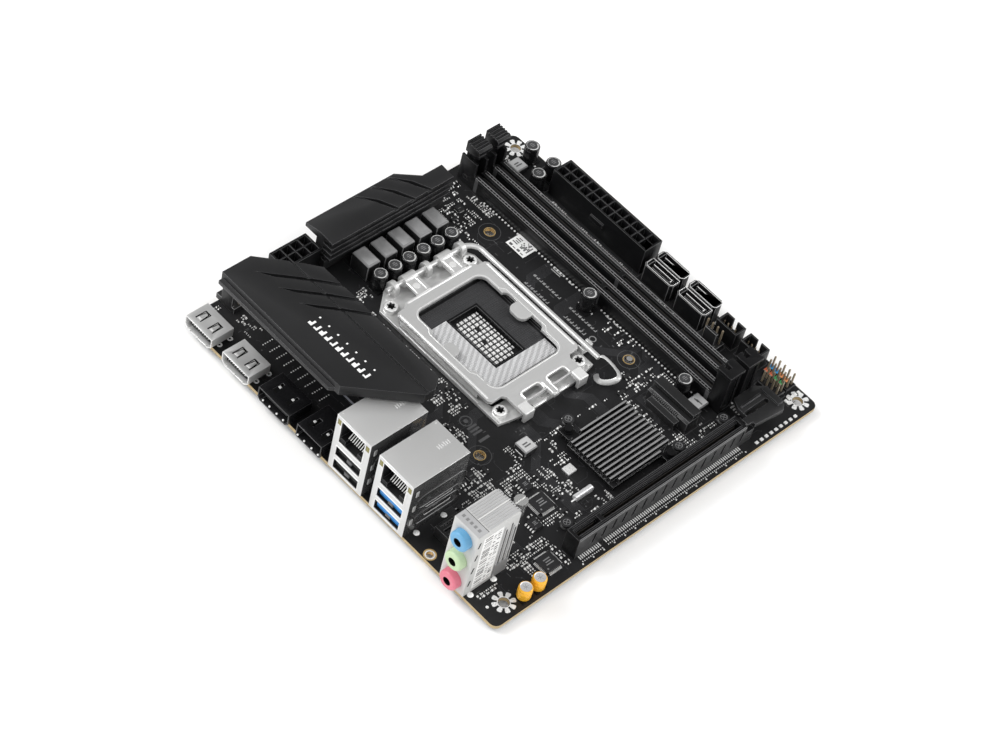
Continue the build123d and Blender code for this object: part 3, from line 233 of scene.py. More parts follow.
finish("tin", (0.84, 0.84, 0.83), 0.28, 0.4, spread=0.08, depth=0.000002)
finish("can", (0.80, 0.80, 0.81), 0.30, 0.5, spread=0.05, grain=1200, depth=0.000002)
finish("dark_can", (0.007, 0.007, 0.0075), 0.22, spread=0.12, grain=1200, depth=0.000002, spec=0.4)
finish("ferrite", (0.020, 0.020, 0.021), 0.42, 0.2, spread=0.15, grain=2200, depth=0.00001)
finish("ceramic", (0.30, 0.285, 0.27), 0.45, grain=2000)

# Finishes used only by the detailed pieces.
# The four edge finishes are lighter copies of the body finishes. On bevels, chamfers, rims and thin
# strips they are painted highlights; some also serve for printed marks and small bright metal
# parts, and the dark grey one paints the shade on the screw recess walls.
finish("edge_dark", (0.060, 0.060, 0.062), 0.34, grain=1800)
finish("edge_light", (0.22, 0.22, 0.222), 0.34, spread=0.08, grain=1800)
finish("edge_bright", (0.88, 0.88, 0.87), 0.22, 0.4, spread=0.03, depth=0.000001)
finish("edge_sheen_and_recess_shade", (0.13, 0.13, 0.134), 0.34, 0.4, grain=2400, depth=0.000003)
# A lighter grey for the chipset heatsink's fin tops and bevels: a painted highlight.
finish("fin_top_highlight", (0.30, 0.30, 0.302), 0.34, 0.4, grain=2200, depth=0.000003)
finish("choke_top", (0.36, 0.36, 0.362), 0.34, 0.3, spread=0.30, mottle=110, grain=2200,
       depth=0.000003)
finish("fibreglass", (0.42, 0.32, 0.17), 0.55, mottle=300, grain=1800)
finish("print", (0.42, 0.42, 0.415), 0.55, spread=0.05, depth=0.000004)
finish("dim_print", (0.24, 0.24, 0.24), 0.55, spread=0.08, depth=0.000004)
finish("faint_print", (0.075, 0.075, 0.077), 0.5, depth=0.000004)
finish("trace", (0.026, 0.026, 0.028), 0.36, depth=0.000004)
finish("solder", (0.92, 0.92, 0.91), 0.28, 0.3, spread=0.06, grain=900, depth=0.000002)
finish("label", (0.82, 0.82, 0.81), 0.5, spread=0.03, grain=900, depth=0.000006)
finish("ink", (0.025, 0.025, 0.027), 0.5, grain=900, depth=0.000003)
finish("chip_grey", (0.10, 0.10, 0.102), 0.42, spread=0.15, grain=2000)
finish("coil_top", (0.48, 0.48, 0.48), 0.42, grain=2000)
finish("chip_tan", (0.21, 0.205, 0.20), 0.45, spread=0.15, grain=2000)
finish("resistor", (0.015, 0.015, 0.016), 0.35, spread=0.15, grain=2000)
finish("amber_sleeve", (0.90, 0.46, 0.030), 0.26, 0.15, spread=0.08, grain=1400, depth=0.000002)
finish("can_top", (0.060, 0.060, 0.062), 0.34, 0.3, spread=0.15, grain=1400, depth=0.000003)
# Near black: painted shade in holes, slits, recesses and jack linings.
finish("hole_shade", (0.003, 0.003, 0.003), 0.6, spread=0.2, grain=900, spec=0.1)
# Lit and shaded copies of the contact metal: painted light and painted shade for the two halves of
# the socket's contact field.
finish("land_bright", (0.60, 0.60, 0.605), 0.42, 0.3, spread=0.14, grain=1800, stripes=(150.0, 1.0))
finish("land_dark", (0.050, 0.050, 0.052), 0.40, 0.3, spread=0.2, grain=2600, stretch=(1, 9, 1))
finish("spring_dark", (0.10, 0.10, 0.105), 0.35, 0.4, spread=0.15, grain=2000)
finish("header_red", (0.66, 0.14, 0.06), 0.4, spread=0.08)
finish("header_green", (0.05, 0.36, 0.12), 0.4, spread=0.08)
finish("header_blue", (0.03, 0.28, 0.62), 0.4, spread=0.08)
finish("header_orange", (0.76, 0.28, 0.10), 0.4, spread=0.08)
finish("pin_metal", (0.34, 0.28, 0.20), 0.3, 0.5, depth=0.000002)
finish("slot_contact", (0.055, 0.050, 0.044), 0.35, 0.4, depth=0.000002)
# A darker copy of the shell metal for the port stacks' side walls: a painted dark reflection.
finish("shell_side", (0.115, 0.115, 0.116), 0.2, 0.6, spread=0.25, mottle=30, grain=900,
       depth=0.000001)
# A lighter grey for the expansion slot's -Y face: painted light on that face.
finish("lit_side_grey", (0.022, 0.022, 0.0225), 0.38, spread=0.12, grain=1600, spec=0.4)
finish("jack_plastic", (0.40, 0.40, 0.405), 0.42, spread=0.06, spec=0.3)

for name, obj in nodes.items():
    obj.data.materials.clear()
    obj.data.materials.append(mats[slots[name]])


# ------------------------------------------------------------------ mesh tools
def to_frame(points):
    """Board millimetres to the frame's metres."""
    return [(CORNER.x + p[0] * MM, CORNER.y + p[1] * MM, CORNER.z + p[2] * MM) for p in points]


def settle(obj, body, replaced=()):
    """Rides the piece on its body and hides the CAD nodes it stands for."""
    obj.data.shade_smooth()
    obj.data.set_sharp_from_angle(angle=SHARP)
    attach(obj, body)
    if replaced:
        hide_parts(*replaced)


class Piece:
    """One piece being built in board millimetres, as corners, faces and their finishes."""

    def __init__(self):
        self.points = []
        self.faces = []
        self.paint = []
        self.names = []

    def add(self, points, faces, finish_names):
        first = len(self.points)
        self.points.extend(points)
        if isinstance(finish_names, str):
            finish_names = [finish_names] * len(faces)
        for face, finish_name in zip(faces, finish_names):
            if finish_name not in self.names:
                self.names.append(finish_name)
            self.faces.append([first + i for i in face])
            self.paint.append(self.names.index(finish_name))

    def box(self, x0, x1, y0, y1, z0, z1, mat, cut=0.06, edge=None, turn=0.0, lid=None, lean=None):
        """A box with chamfered edges, turned about its middle, with its own edge and lid finish. A
        lighter edge finish on the chamfers is a painted highlight.
        """
        low, high = (x0, y0, z0), (x1, y1, z1)
        cut = min(cut, 0.3 * min(x1 - x0, y1 - y0, z1 - z0))
        points = []
        for corner in range(8):
            bits = (corner & 1, corner >> 1 & 1, corner >> 2 & 1)
            for axis in range(3):
                point = []
                for k in range(3):
                    inset = 0.0 if k == axis else cut
                    point.append(high[k] - inset if bits[k] else low[k] + inset)
                points.append(point)
        if turn or lean:
            middle = Vector(((x0 + x1) / 2, (y0 + y1) / 2, (z0 + z1) / 2))
            spin = Matrix.Rotation(math.radians(turn), 3, "Z")
            if lean:
                spin = spin @ Matrix.Rotation(math.radians(lean[1]), 3, lean[0])
            points = [tuple(spin @ (Vector(p) - middle) + middle) for p in points]
        faces, finishes = [], []
        for axis in range(3):
            b, c = (axis + 1) % 3, (axis + 2) % 3
            for side in (0, 1):
                ring = [(0, 0), (1, 0), (1, 1), (0, 1)]
                faces.append([((side << axis) + (u << b) + (v << c)) * 3 + axis for u, v in ring])
                finishes.append(lid if lid and axis == 2 and side else mat)
            for u, v in ((0, 0), (0, 1), (1, 0), (1, 1)):
                one = (u << b) + (v << c)
                two = one + (1 << axis)
                faces.append([one * 3 + b, two * 3 + b, two * 3 + c, one * 3 + c])
                finishes.append(edge or mat)
        for corner in range(8):
            faces.append([corner * 3, corner * 3 + 1, corner * 3 + 2])
            finishes.append(edge or mat)
        self.add(points, faces, finishes)

    def slab(self, x, y, half_x, half_y, *rest, **options):
        """A box given by its middle and half widths on the board, and then as for box."""
        self.box(x - half_x, x + half_x, y - half_y, y + half_y, *rest, **options)

    def mark(self, x0, x1, y0, y1, mat, high=PRINT_HIGH):
        """A printed bar on the board."""
        self.box(x0, x1, y0, y1, 0, high, mat, 0.004)

    def lathe(self, origin, profile, mat, sides=24, axis="z"):
        """A turned shape. Each step of the profile is (radius, distance along the axis), then
        optionally the finish of what follows and the depth of six lobes."""
        points, rings = [], []
        for step in profile:
            radius, along = step[0], step[1]
            lobes = step[3] if len(step) > 3 else 0.0
            count = 1 if radius < 1e-6 else sides
            ring = []
            for i in range(count):
                angle = 2 * math.pi * i / sides
                reach = radius * (1 + lobes * math.cos(6 * angle))
                u, v = reach * math.cos(angle), reach * math.sin(angle)
                place = {"z": (u, v, along), "x": (along, u, v), "y": (u, along, v)}[axis]
                ring.append(len(points))
                points.append(tuple(o + p for o, p in zip(origin, place)))
            rings.append(ring)
        faces, finishes = [], []
        current = mat
        for k in range(len(rings) - 1):
            if len(profile[k]) > 2:
                current = profile[k][2]
            one, two = rings[k], rings[k + 1]
            for i in range(sides):
                j = (i + 1) % sides
                if len(one) == 1 and len(two) == 1:
                    break
                if len(one) == 1:
                    faces.append([one[0], two[i], two[j]])
                elif len(two) == 1:
                    faces.append([one[i], one[j], two[0]])
                else:
                    faces.append([one[i], one[j], two[j], two[i]])
                finishes.append(current)
        if len(rings[0]) > 1:
            faces.append(rings[0][::-1])
            finishes.append(mat)
        if len(rings[-1]) > 1:
            faces.append(rings[-1])
            finishes.append(current)
        self.add(points, faces, finishes)

    def prism(self, outline, z0, z1, mat):
        """A flat outline given thickness."""
        n = len(outline)
        points = [(x, y, z0) for x, y in outline] + [(x, y, z1) for x, y in outline]
        faces = [list(range(n))[::-1], list(range(n, 2 * n))]
        faces += [[i, (i + 1) % n, n + (i + 1) % n, n + i] for i in range(n)]
        self.add(points, faces, mat)

    def strip(self, path, width, mat):
        """A flat track of even width along a path of points on the board."""
        left, right = [], []
        for i, (x, y) in enumerate(path):
            ahead = Vector(path[min(i + 1, len(path) - 1)]) - Vector((x, y))
            behind = Vector((x, y)) - Vector(path[max(i - 1, 0)])
            if ahead.length < 1e-9:
                ahead = behind
            if behind.length < 1e-9:
                behind = ahead
            way = (ahead.normalized() + behind.normalized()).normalized()
            reach = width / 2 / max(0.4, way.dot(ahead.normalized()))
            side = Vector((-way.y, way.x)) * reach
            left.append((x + side.x, y + side.y))
            right.append((x - side.x, y - side.y))
        n = len(path)
        points = [(x, y, z) for z in (0, TRACK_HIGH) for x, y in left + right]
        faces = []
        for i in range(n - 1):
            faces.append([2 * n + i, 2 * n + i + 1, 3 * n + i + 1, 3 * n + i])
            faces.append([i, n + i, n + i + 1, i + 1])
            faces.append([i, i + 1, 2 * n + i + 1, 2 * n + i])
            faces.append([n + i + 1, n + i, 3 * n + i, 3 * n + i + 1])
        faces.append([0, 2 * n, 3 * n, n])
        faces.append([n - 1, 2 * n - 1, 4 * n - 1, 3 * n - 1])
        self.add(points, faces, mat)

    def ring(self, x, y, inner, outer, mat, z0=0.0, z1=PRINT_HIGH, sides=32, sweep=360.0,
             start=0.0):
        """A flat ring, or part of one, lying on the board."""
        count = max(3, int(sides * sweep / 360))
        closed = sweep >= 359.9
        steps = count if closed else count + 1
        points = []
        for i in range(steps):
            angle = math.radians(start + sweep * i / count)
            c, s = math.cos(angle), math.sin(angle)
            points += [(x + inner * c, y + inner * s, z0), (x + outer * c, y + outer * s, z0),
                       (x + outer * c, y + outer * s, z1), (x + inner * c, y + inner * s, z1)]
        faces = []
        for i in range(count):
            a, b = 4 * i, 4 * ((i + 1) % steps)
            faces += [[a + k, a + (k + 1) % 4, b + (k + 1) % 4, b + k] for k in range(4)]
        if not closed:
            faces += [[0, 1, 2, 3], [4 * count, 4 * count + 3, 4 * count + 2, 4 * count + 1]]
        self.add(points, faces, mat)

    def tube(self, path, radius, mat, sides=10):
        """A round wire along a path of points."""
        path = [Vector(p) for p in path]
        points, faces = [], []
        for i, p in enumerate(path):
            way = (path[min(i + 1, len(path) - 1)] - path[max(i - 1, 0)]).normalized()
            lift = Vector((0, 0, 1)) if abs(way.z) < 0.9 else Vector((1, 0, 0))
            side = way.cross(lift).normalized()
            lift = side.cross(way).normalized()
            for k in range(sides):
                angle = 2 * math.pi * k / sides
                points.append(tuple(p + radius * (side * math.cos(angle) + lift * math.sin(angle))))
        for i in range(len(path) - 1):
            for k in range(sides):
                a, b = i * sides + k, i * sides + (k + 1) % sides
                faces.append([a, b, b + sides, a + sides])
        faces.append(list(range(sides))[::-1])
        faces.append(list(range(len(points) - sides, len(points))))
        self.add(points, faces, mat)

    def done(self, name, body, slot, *replaced):
        mesh = bpy.data.meshes.new(name)
        mesh.from_pydata(to_frame(self.points), [], self.faces)
        mesh.polygons.foreach_set("material_index", self.paint)
        for finish_name in self.names:
            mesh.materials.append(mats[finish_name])
        work = bmesh.new()
        work.from_mesh(mesh)
        bmesh.ops.recalc_face_normals(work, faces=work.faces)
        work.to_mesh(mesh)
        work.free()
        obj = bpy.data.objects.new(name, mesh)
        bpy.context.scene.collection.objects.link(obj)
        settle(obj, body, replaced)


def refine(node, width, edge=None, paint=None):
    """A copy of a CAD node with real bevelled edges; a given edge finish paints the bevels lighter,
    a painted highlight. paint(centre, normal) may name a finish.
    """
    source = nodes[node].data.copy()
    work = bmesh.new()
    work.from_mesh(source)
    bmesh.ops.remove_doubles(work, verts=work.verts, dist=0.000002)
    bmesh.ops.dissolve_limit(
        work, angle_limit=math.radians(0.6), verts=work.verts, edges=work.edges
    )
    names = [slots[node], edge or slots[node]]
    source.materials.clear()
    for face in work.faces:
        face.material_index = 0
        if paint:
            centre = (face.calc_center_median() - CORNER) / MM
            wanted = paint(centre, face.normal)
            if wanted:
                if wanted not in names:
                    names.append(wanted)
                face.material_index = names.index(wanted)
    work.to_mesh(source)
    work.free()
    name = node + "_finish"
    obj = bpy.data.objects.new(name, source)
    bpy.context.scene.collection.objects.link(obj)
    for finish_name in names:
        source.materials.append(mats[finish_name])
    bevel = obj.modifiers.new("bevel", "BEVEL")
    bevel.width = width * MM
    bevel.segments = 2
    bevel.limit_method = "ANGLE"
    bevel.angle_limit = SHARP
    bevel.material = 1
    bevel.miter_outer = "MITER_SHARP"
    shaped = bpy.data.meshes.new_from_object(
        obj.evaluated_get(bpy.context.evaluated_depsgraph_get())
    )
    obj.modifiers.clear()
    obj.data = shaped
    settle(obj, nodes[node]["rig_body"], (node,))


# ------------------------------------------------------------------ bare board
def repaint(node, choose):
    """Gives some faces of a CAD node another finish, without touching its shape."""
    mesh = nodes[node].data
    names = [slots[node]]
    for polygon in mesh.polygons:
        wanted = choose((polygon.center - CORNER) / MM, polygon.normal)
        if wanted:
            if wanted not in names:
                names.append(wanted)
                mesh.materials.append(mats[wanted])
            polygon.material_index = names.index(wanted)


def board_side(centre, normal):
    """The board's cut edges are fibreglass, and its plated holes are gold."""
    if abs(normal.z) > 0.5:
        return None
    for x, y in [*COOLER_HOLES, GROUND_HOLE]:
        if math.hypot(centre.x - x, centre.y - y) < 4.0:
            return "gold"
    return "fibreglass"


repaint("pcb", board_side)

lands = Piece()
# One silver petal round a mounting hole: its corners' radii and degrees off its middle.
flank = ((2.45, -13), (3.4, -15), (4.3, -13), (4.6, -7), (4.6, 7), (4.3, 13), (3.4, 15), (2.45, 13))
for x, y in MOUNT_HOLES:
    for i in range(8):
        angle = math.radians(22.5 + 45 * i)
        petal = []
        for radius, spread in flank:
            turn = angle + math.radians(spread)
            petal.append((x + radius * math.cos(turn), y + radius * math.sin(turn)))
        for height in (0.0, -THICK - 0.10):
            lands.prism(petal, height, height + 0.10, "solder")
    for height in (0.0, -THICK - 0.05):
        lands.ring(x, y, 2.15, 2.5, "solder", height, height + 0.05)
for x, y in COOLER_HOLES:
    for height in (0.0, -THICK - 0.04):
        lands.ring(x, y, 2.08, 2.35, "gold", height, height + 0.04)
for height in (0.0, -THICK - 0.04):
    lands.ring(*GROUND_HOLE, 1.95, 2.5, "gold", height, height + 0.05)
    lands.ring(*GROUND_HOLE, 1.42, 1.95, "solder", height, height + 0.04)
for x, y in ((5.2, 46.8), (18.5, 46.8), (2.7, 15.8), (14.0, 15.8)):
    lands.lathe((x, y, 0), [(1.25, 0.0), (1.15, 0.18), (0.8, 0.36), (0.35, 0.46), (0.0, 0.5)],
                "solder", 20)
for x, y in ((3.0, 153.2), (8.0, 153.2), (3.0, 132.2), (9.0, 132.2)):
    lands.ring(x, y, 0.5, 1.1, "solder", 0, 0.12, 24)
lands.done("board_lands", "board", "tin")

# Printed marks: dots, bars and blocks that mean nothing.
marks = Piece()
marks.ring(54, 73.5, 2.1, 2.5, "faint_print")
marks.ring(54, 73.5, 0.05, 0.9, "faint_print")
for low in (66.6, 68.2, 69.8):
    marks.mark(51.8, 56.2, low, low + 0.9, "faint_print")
marks.mark(51.5, 56.5, 62.9, 64.1, "faint_print")
marks.ring(126, 59, 0.05, 1.2, "dim_print")
marks.ring(126, 59, 1.8, 2.3, "faint_print")
marks.ring(4, 8.4, 0.05, 0.6, "solder")
for x, wide, low, high in ((119.4, 1.5, 77.5, 90.5), (124.2, 1.2, 76, 92), (124.2, 1.2, 96, 112),
                           (118.6, 1.3, 97, 111)):
    for i in range(int((high - low) / 1.7)):
        y = low + 1.7 * i
        marks.mark(x, x + wide, y, y + 0.42, "dim_print")
        marks.mark(x, x + 0.4 + 0.3 * (i % 3), y + 0.42, y + 1.15, "dim_print")
marks.ring(121.0, 74.2, 1.1, 1.5, "dim_print")
for x, y0, y1 in ((133.5, 77.2, 79.8), (133.5, 72.6, 75.0), (133.5, 98.2, 100.4)):
    marks.mark(x - 0.3, x + 0.3, y0, y1, "print")
for i in range(4):
    marks.mark(132.2 + 0.9 * i, 132.6 + 0.9 * i, 104, 109, "print")
    marks.mark(141.0, 144.0, 15 + 1.3 * i, 15.7 + 1.3 * i, "print")
# Outlines round the parts.
outline_boxes = [
    (36.9, 57.7, 158.6, 170.0), (157.6, 169.4, 86.6, 139.8), (153.6, 160.8, 41, 52.4),
    (161.2, 168.9, 25.9, 37.3), (161.2, 168.9, 38.7, 50), (116.6, 124.6, 20.4, 42.6),
    (46, 55, 25, 34), (30.2, 38.6, 4.9, 13.3), (156.9, 163, 10.8, 22.2), (65, 108, 71.4, 124.2),
]
for x0, x1, y0, y1 in outline_boxes:
    for a, b, c, d in ((x0, x1, y0, y0 + 0.18), (x0, x1, y1 - 0.18, y1),
                       (x0, x0 + 0.18, y0, y1), (x1 - 0.18, x1, y0, y1)):
        marks.mark(a, b, c, d, "faint_print", 0.03)
for x, y in COOLER_HOLES:
    marks.ring(x, y, 4.3, 4.5, "faint_print", 0, 0.03, 40)
# Short faint marks beside the parts.
draw = random.Random(11)
for _ in range(420):
    x, y = draw.uniform(3, 166), draw.uniform(3, 166)
    long, across = draw.choice(((1.4, 0.22), (1.0, 0.5), (0.5, 0.5), (2.2, 0.22)))
    if draw.random() < 0.5:
        long, across = across, long
    marks.mark(x, x + long, y, y + across, "faint_print", 0.03)
for i in range(5):
    for j in range(9):
        marks.ring(16.2 + 1.1 * i, 112 + 4.0 * j, 0.02, 0.28, "solder", 0, 0.04, 10)
marks.done("board_marks", "board", "board")

# Copper tracks just under the solder mask, as low ridges with 45 degree bends.
tracks = Piece()
bundles = [
    ((108.5, 86), (114, 86), (120, 92), (134, 92), 14, 0.42, (0, 1)),
    ((108.5, 104), (116, 104), (122, 110), (134, 110), 12, 0.42, (0, 1)),
    ((110, 70), (118, 70), (126, 62), (134, 62), 12, 0.42, (0, 1)),
    ((70, 60), (70, 52), (60, 42), (60, 14), 10, 0.5, (1, 0)),
    ((78, 71), (78, 56), (84, 50), (84, 44), 12, 0.5, (1, 0)),
    ((95, 71), (95, 60), (100, 55), (100, 45), 10, 0.5, (1, 0)),
    ((64, 74), (58, 74), (44, 60), (28, 60), 9, 0.5, (0, 1)),
    ((64, 90), (56, 90), (48, 82), (38, 82), 8, 0.5, (0, 1)),
    ((40, 54), (40, 46), (30, 36), (30, 16), 7, 0.6, (1, 0)),
    ((58, 20), (64, 14), (74, 14), (76, 14), 6, 0.5, (0, 1)),
    ((107, 30), (112, 30), (116, 34), (116, 44), 7, 0.5, (1, 0)),
    ((126, 44), (132, 50), (132, 56), (138, 62), 6, 0.6, (1, 0)),
    ((154, 56), (154, 80), (156, 82), (156, 90), 5, 0.6, (1, 0)),
    ((152.5, 100), (156, 103.5), (156, 120), (153, 123), 4, 0.6, (1, 0)),
    ((110, 47), (120, 47), (126, 53), (150, 53), 6, 0.5, (0, 1)),
    ((22, 52), (22, 46), (20, 44), (20, 16), 6, 0.6, (1, 0)),
]
for *path, count, pitch, way in bundles:
    for i in range(count):
        shift = (i - count / 2) * pitch
        shifted = [(x + shift * way[0], y + shift * way[1]) for x, y in path]
        tracks.strip(shifted, pitch * 0.5, "trace")
draw = random.Random(5)
for _ in range(300):
    x, y = draw.uniform(3, 160), draw.uniform(3, 160)
    run = draw.uniform(2, 7)
    dx, dy = draw.choice(((1, 0), (0, 1), (1, 0), (0, 1)))
    bend = draw.uniform(0.6, 2.2) * draw.choice((-1, 1))
    path = [(x, y), (x + run * dx, y + run * dy),
            (x + run * dx + abs(bend) * dx + bend * dy, y + run * dy + abs(bend) * dy + bend * dx)]
    tracks.strip(path, 0.2, "trace")
    for end in (path[0], path[-1]):
        tracks.ring(end[0], end[1], 0.12, 0.3, "trace", 0, 0.03, 10)
tracks.done("board_tracks", "board", "board")

# ------------------------------------------------------------------ bevelled CAD shapes
# Each shape's bevels take the lighter finish named beside it, a painted highlight along its edges.
for node, width, edge in (
    ("rear_heatsink", 0.30, "edge_sheen_and_recess_shade"),
    ("top_heatsink", 0.28, "edge_sheen_and_recess_shade"),
    ("retention_frame", 0.14, "edge_bright"),
    ("back_plate", 0.2, "edge_bright"),
    ("socket_body", 0.14, "edge_dark"),
    ("memory_slot_1", 0.12, "edge_dark"),
    ("memory_slot_2", 0.12, "edge_dark"),
    ("memory_latch_1", 0.18, "edge_dark"),
    ("memory_latch_2", 0.18, "edge_dark"),
    ("card_retainer", 0.20, "edge_sheen_and_recess_shade"),
    ("hdmi_shell_1", 0.12, "edge_bright"),
    ("hdmi_shell_2", 0.12, "edge_bright"),
    ("displayport_shell", 0.12, "edge_dark"),
    ("single_usb_shell", 0.12, "edge_dark"),
    ("port_tongues", 0.08, "edge_dark"),
    ("port_stack_insert_1", 0.10, "edge_dark"),
    ("port_stack_insert_2", 0.10, "edge_dark"),
    ("usb_tongues_1", 0.08, None),
    ("usb_tongues_2", 0.08, None),
    ("lan_light_pipes", 0.12, None),
    ("audio_housing", 0.25, None),
    ("drive_ports_1", 0.14, "edge_light"),
    ("drive_ports_2", 0.14, "edge_light"),
    ("header_shrouds", 0.12, "edge_dark"),
    ("pin_header_bases", 0.10, "edge_dark"),
    ("fan_headers", 0.12, "edge_light"),
    ("card_connector", 0.12, "edge_light"),
    ("power_stages", 0.08, None),
    ("chipset", 0.08, None),
    ("load_plate", 0.28, "edge_bright"),
    ("main_power_housing", 0.10, "edge_dark"),
    ("processor_power_housing", 0.10, "edge_dark"),
):
    refine(node, width, edge)
refine("chokes", 0.30, "edge_light",
       paint=lambda centre, normal: "choke_top" if normal.z > 0.9 and centre.z > 4 else None)
# The fin tops and bevels are painted a lighter grey: a painted highlight along each fin.
refine("chipset_heatsink", 0.08, "fin_top_highlight",
       paint=lambda centre, normal: "fin_top_highlight" if normal.z > 0.9 and centre.z > 5.0 else None)
# The slot's -Y face is painted a lighter grey: painted light where the light falls on that face.
refine("expansion_slot", 0.12, "edge_sheen_and_recess_shade",
       paint=lambda centre, normal: "lit_side_grey" if normal.y < -0.9 and centre.y < 5.5 else None)
# The port stacks' side walls are painted a darker metal: a painted dark reflection on the walls.
for node in ("port_stack_shell_1", "port_stack_shell_2"):
    refine(node, 0.12, "edge_bright",
           paint=lambda centre, normal: "shell_side" if abs(normal.y) > 0.9 else None)
for node in ("memory_contacts", "expansion_contacts"):
    nodes[node].data.materials[0] = mats["slot_contact"]
nodes["header_pins"].data.materials[0] = mats["pin_metal"]

# ------------------------------------------------------------------ processor socket
# Sprung contacts: each is a small leaning tip over a plate. The two halves lean opposite ways, and
# one half is painted light and the other painted shade, for the light the leaning tips catch.
lands_field = Piece()
field = (68.97, 103.87, 76.63, 119.03)
hollow = (78.52, 94.32, 83.93, 111.73)
plates = [
    (field[0], field[1], field[2], hollow[2], "land_bright"),
    (field[0], hollow[0], hollow[2], hollow[3], "land_bright"),
    (hollow[1], field[1], hollow[2], hollow[3], "land_dark"),
    (field[0], field[1], hollow[3], field[3], "land_dark"),
]
for x0, x1, y0, y1, mat in plates:
    lands_field.box(x0, x1, y0, y1, 2.62, 2.8, mat, 0.01)
contact_pitch = 0.88
columns = int((field[1] - field[0]) / contact_pitch)
rows = int((field[3] - field[2]) / contact_pitch)
for i in range(columns):
    for j in range(rows):
        x = field[0] + 0.5 + i * contact_pitch
        y = field[2] + 0.5 + j * contact_pitch
        if hollow[0] - 0.3 < x < hollow[1] + 0.3 and hollow[2] - 0.3 < y < hollow[3] + 0.3:
            continue
        lit_half = y < hollow[2] or (x < hollow[0] and y < hollow[3])
        lean = 0.24 if lit_half else -0.24
        mat = "land_bright" if lit_half else "spring_dark"
        lands_field.add(
            [(x - 0.2, y - 0.1, 2.8), (x + 0.2, y - 0.1, 2.8), (x + 0.2, y + 0.1, 2.8),
             (x - 0.2, y + 0.1, 2.8), (x - 0.14 + lean, y - 0.08, 3.08),
             (x + 0.14 + lean, y - 0.08, 3.08), (x + 0.14 + lean, y + 0.08, 3.08),
             (x - 0.14 + lean, y + 0.08, 3.08)],
            [(0, 1, 2, 3), (4, 5, 6, 7), (0, 1, 5, 4), (1, 2, 6, 5), (2, 3, 7, 6), (3, 0, 4, 7)],
            mat)
lands_field.done("socket_contacts", "board", "contact_gold", "contact_field")

tiny = Piece()
for i in range(6):
    for j in range(12):
        x, y = 81.1 + 2.13 * i, 86.9 + 1.99 * j
        if (i, j) in ((0, 11), (5, 0), (2, 5), (3, 8)):
            continue
        tiny.slab(x, y, 0.9, 0.62, 0.02, 0.72, "chip_grey", 0.06)
        for side in (-1, 1):
            tiny.slab(x + side * 0.68, y, 0.27, 0.66, 0.0, 0.78, "solder", 0.08)
tiny.done("socket_small_parts", "board", "ceramic", "socket_capacitors")

# Star-headed screws that hold the frame.
screws = Piece()
frame_screws = [(65.92, 68.33), (106.92, 68.33), (65.92, 128.83), (106.92, 128.83)]
for x, y in frame_screws:
    # The star recess is painted: its walls in a dark grey finish and its floor near black, painted
    # shade in the recess.
    screws.lathe((x, y, 0), [
        (1.35, -3.5), (1.5, -3.4), (1.5, 1.3), (2.6, 1.45), (2.9, 1.65, "edge_bright"),
        (2.98, 2.3), (2.9, 2.9), (2.6, 3.3), (2.2, 3.48), (1.75, 3.5),
        (1.62, 3.44, "edge_bright", 0.20), (1.5, 3.2, "edge_sheen_and_recess_shade", 0.22),
        (1.4, 2.2, "hole_shade", 0.22), (0.0, 2.1),
    ], "zinc_screw", 48)
screws.done("frame_screws", "board", "zinc_screw", "retention_screws")

# ------------------------------------------------------------------ cans and coils
core_cans = [(70.4 + 7.33 * i, 140.7, 8.0) for i in range(6)]
board_cans = [(x, y, 9.2) for x, y in
              ((129.5, 86.8), (129.9, 35.5), (164.6, 155.6), (156.4, 143.4), (165.4, 144.2))]
cans = Piece()
for x, y, height in core_cans + board_cans:
    wide = 3.2
    outline = [(x - wide, y - wide), (x + wide, y - wide), (x + wide, y + wide - 1.1),
               (x + wide - 1.1, y + wide), (x - wide + 1.1, y + wide), (x - wide, y + wide - 1.1)]
    cans.prism(outline, 0.05, 0.75, "black_plastic")
    for side in (-1, 1):
        cans.slab(x, y + side * 3.3, 0.4, 0.5, 0.0, 0.18, "solder", 0.05)
    cans.lathe((x, y, 0), [
        (2.7, 0.7), (2.95, 0.8), (3.08, 1.1), (3.1, height - 2.0), (2.98, height - 1.75),
        (2.98, height - 1.5), (3.1, height - 1.25), (3.1, height - 0.55), (3.0, height - 0.2),
        (2.8, height - 0.03), (2.55, height, "edge_bright"), (2.4, height - 0.04, "can_top"),
        (2.25, height - 0.22), (0.0, height - 0.2),
    ], "dark_can", 40)
    top_z = height - 0.2
    # A bright arc near the edge of each top is a painted highlight.
    cans.ring(x, y, 2.0, 2.3, "edge_bright", top_z - 0.02, top_z + 0.04, 40, 150, 200)
    for k, length in enumerate((1.5, 2.0, 1.3)):
        cans.box(x + 0.2 - length / 2, x + 0.2 + length / 2, y - 0.5 + 0.75 * k,
                 y - 0.25 + 0.75 * k, top_z - 0.02, top_z + 0.04, "edge_light", 0.005)
cans.done("polymer_cans", "board", "dark_can", "capacitors")

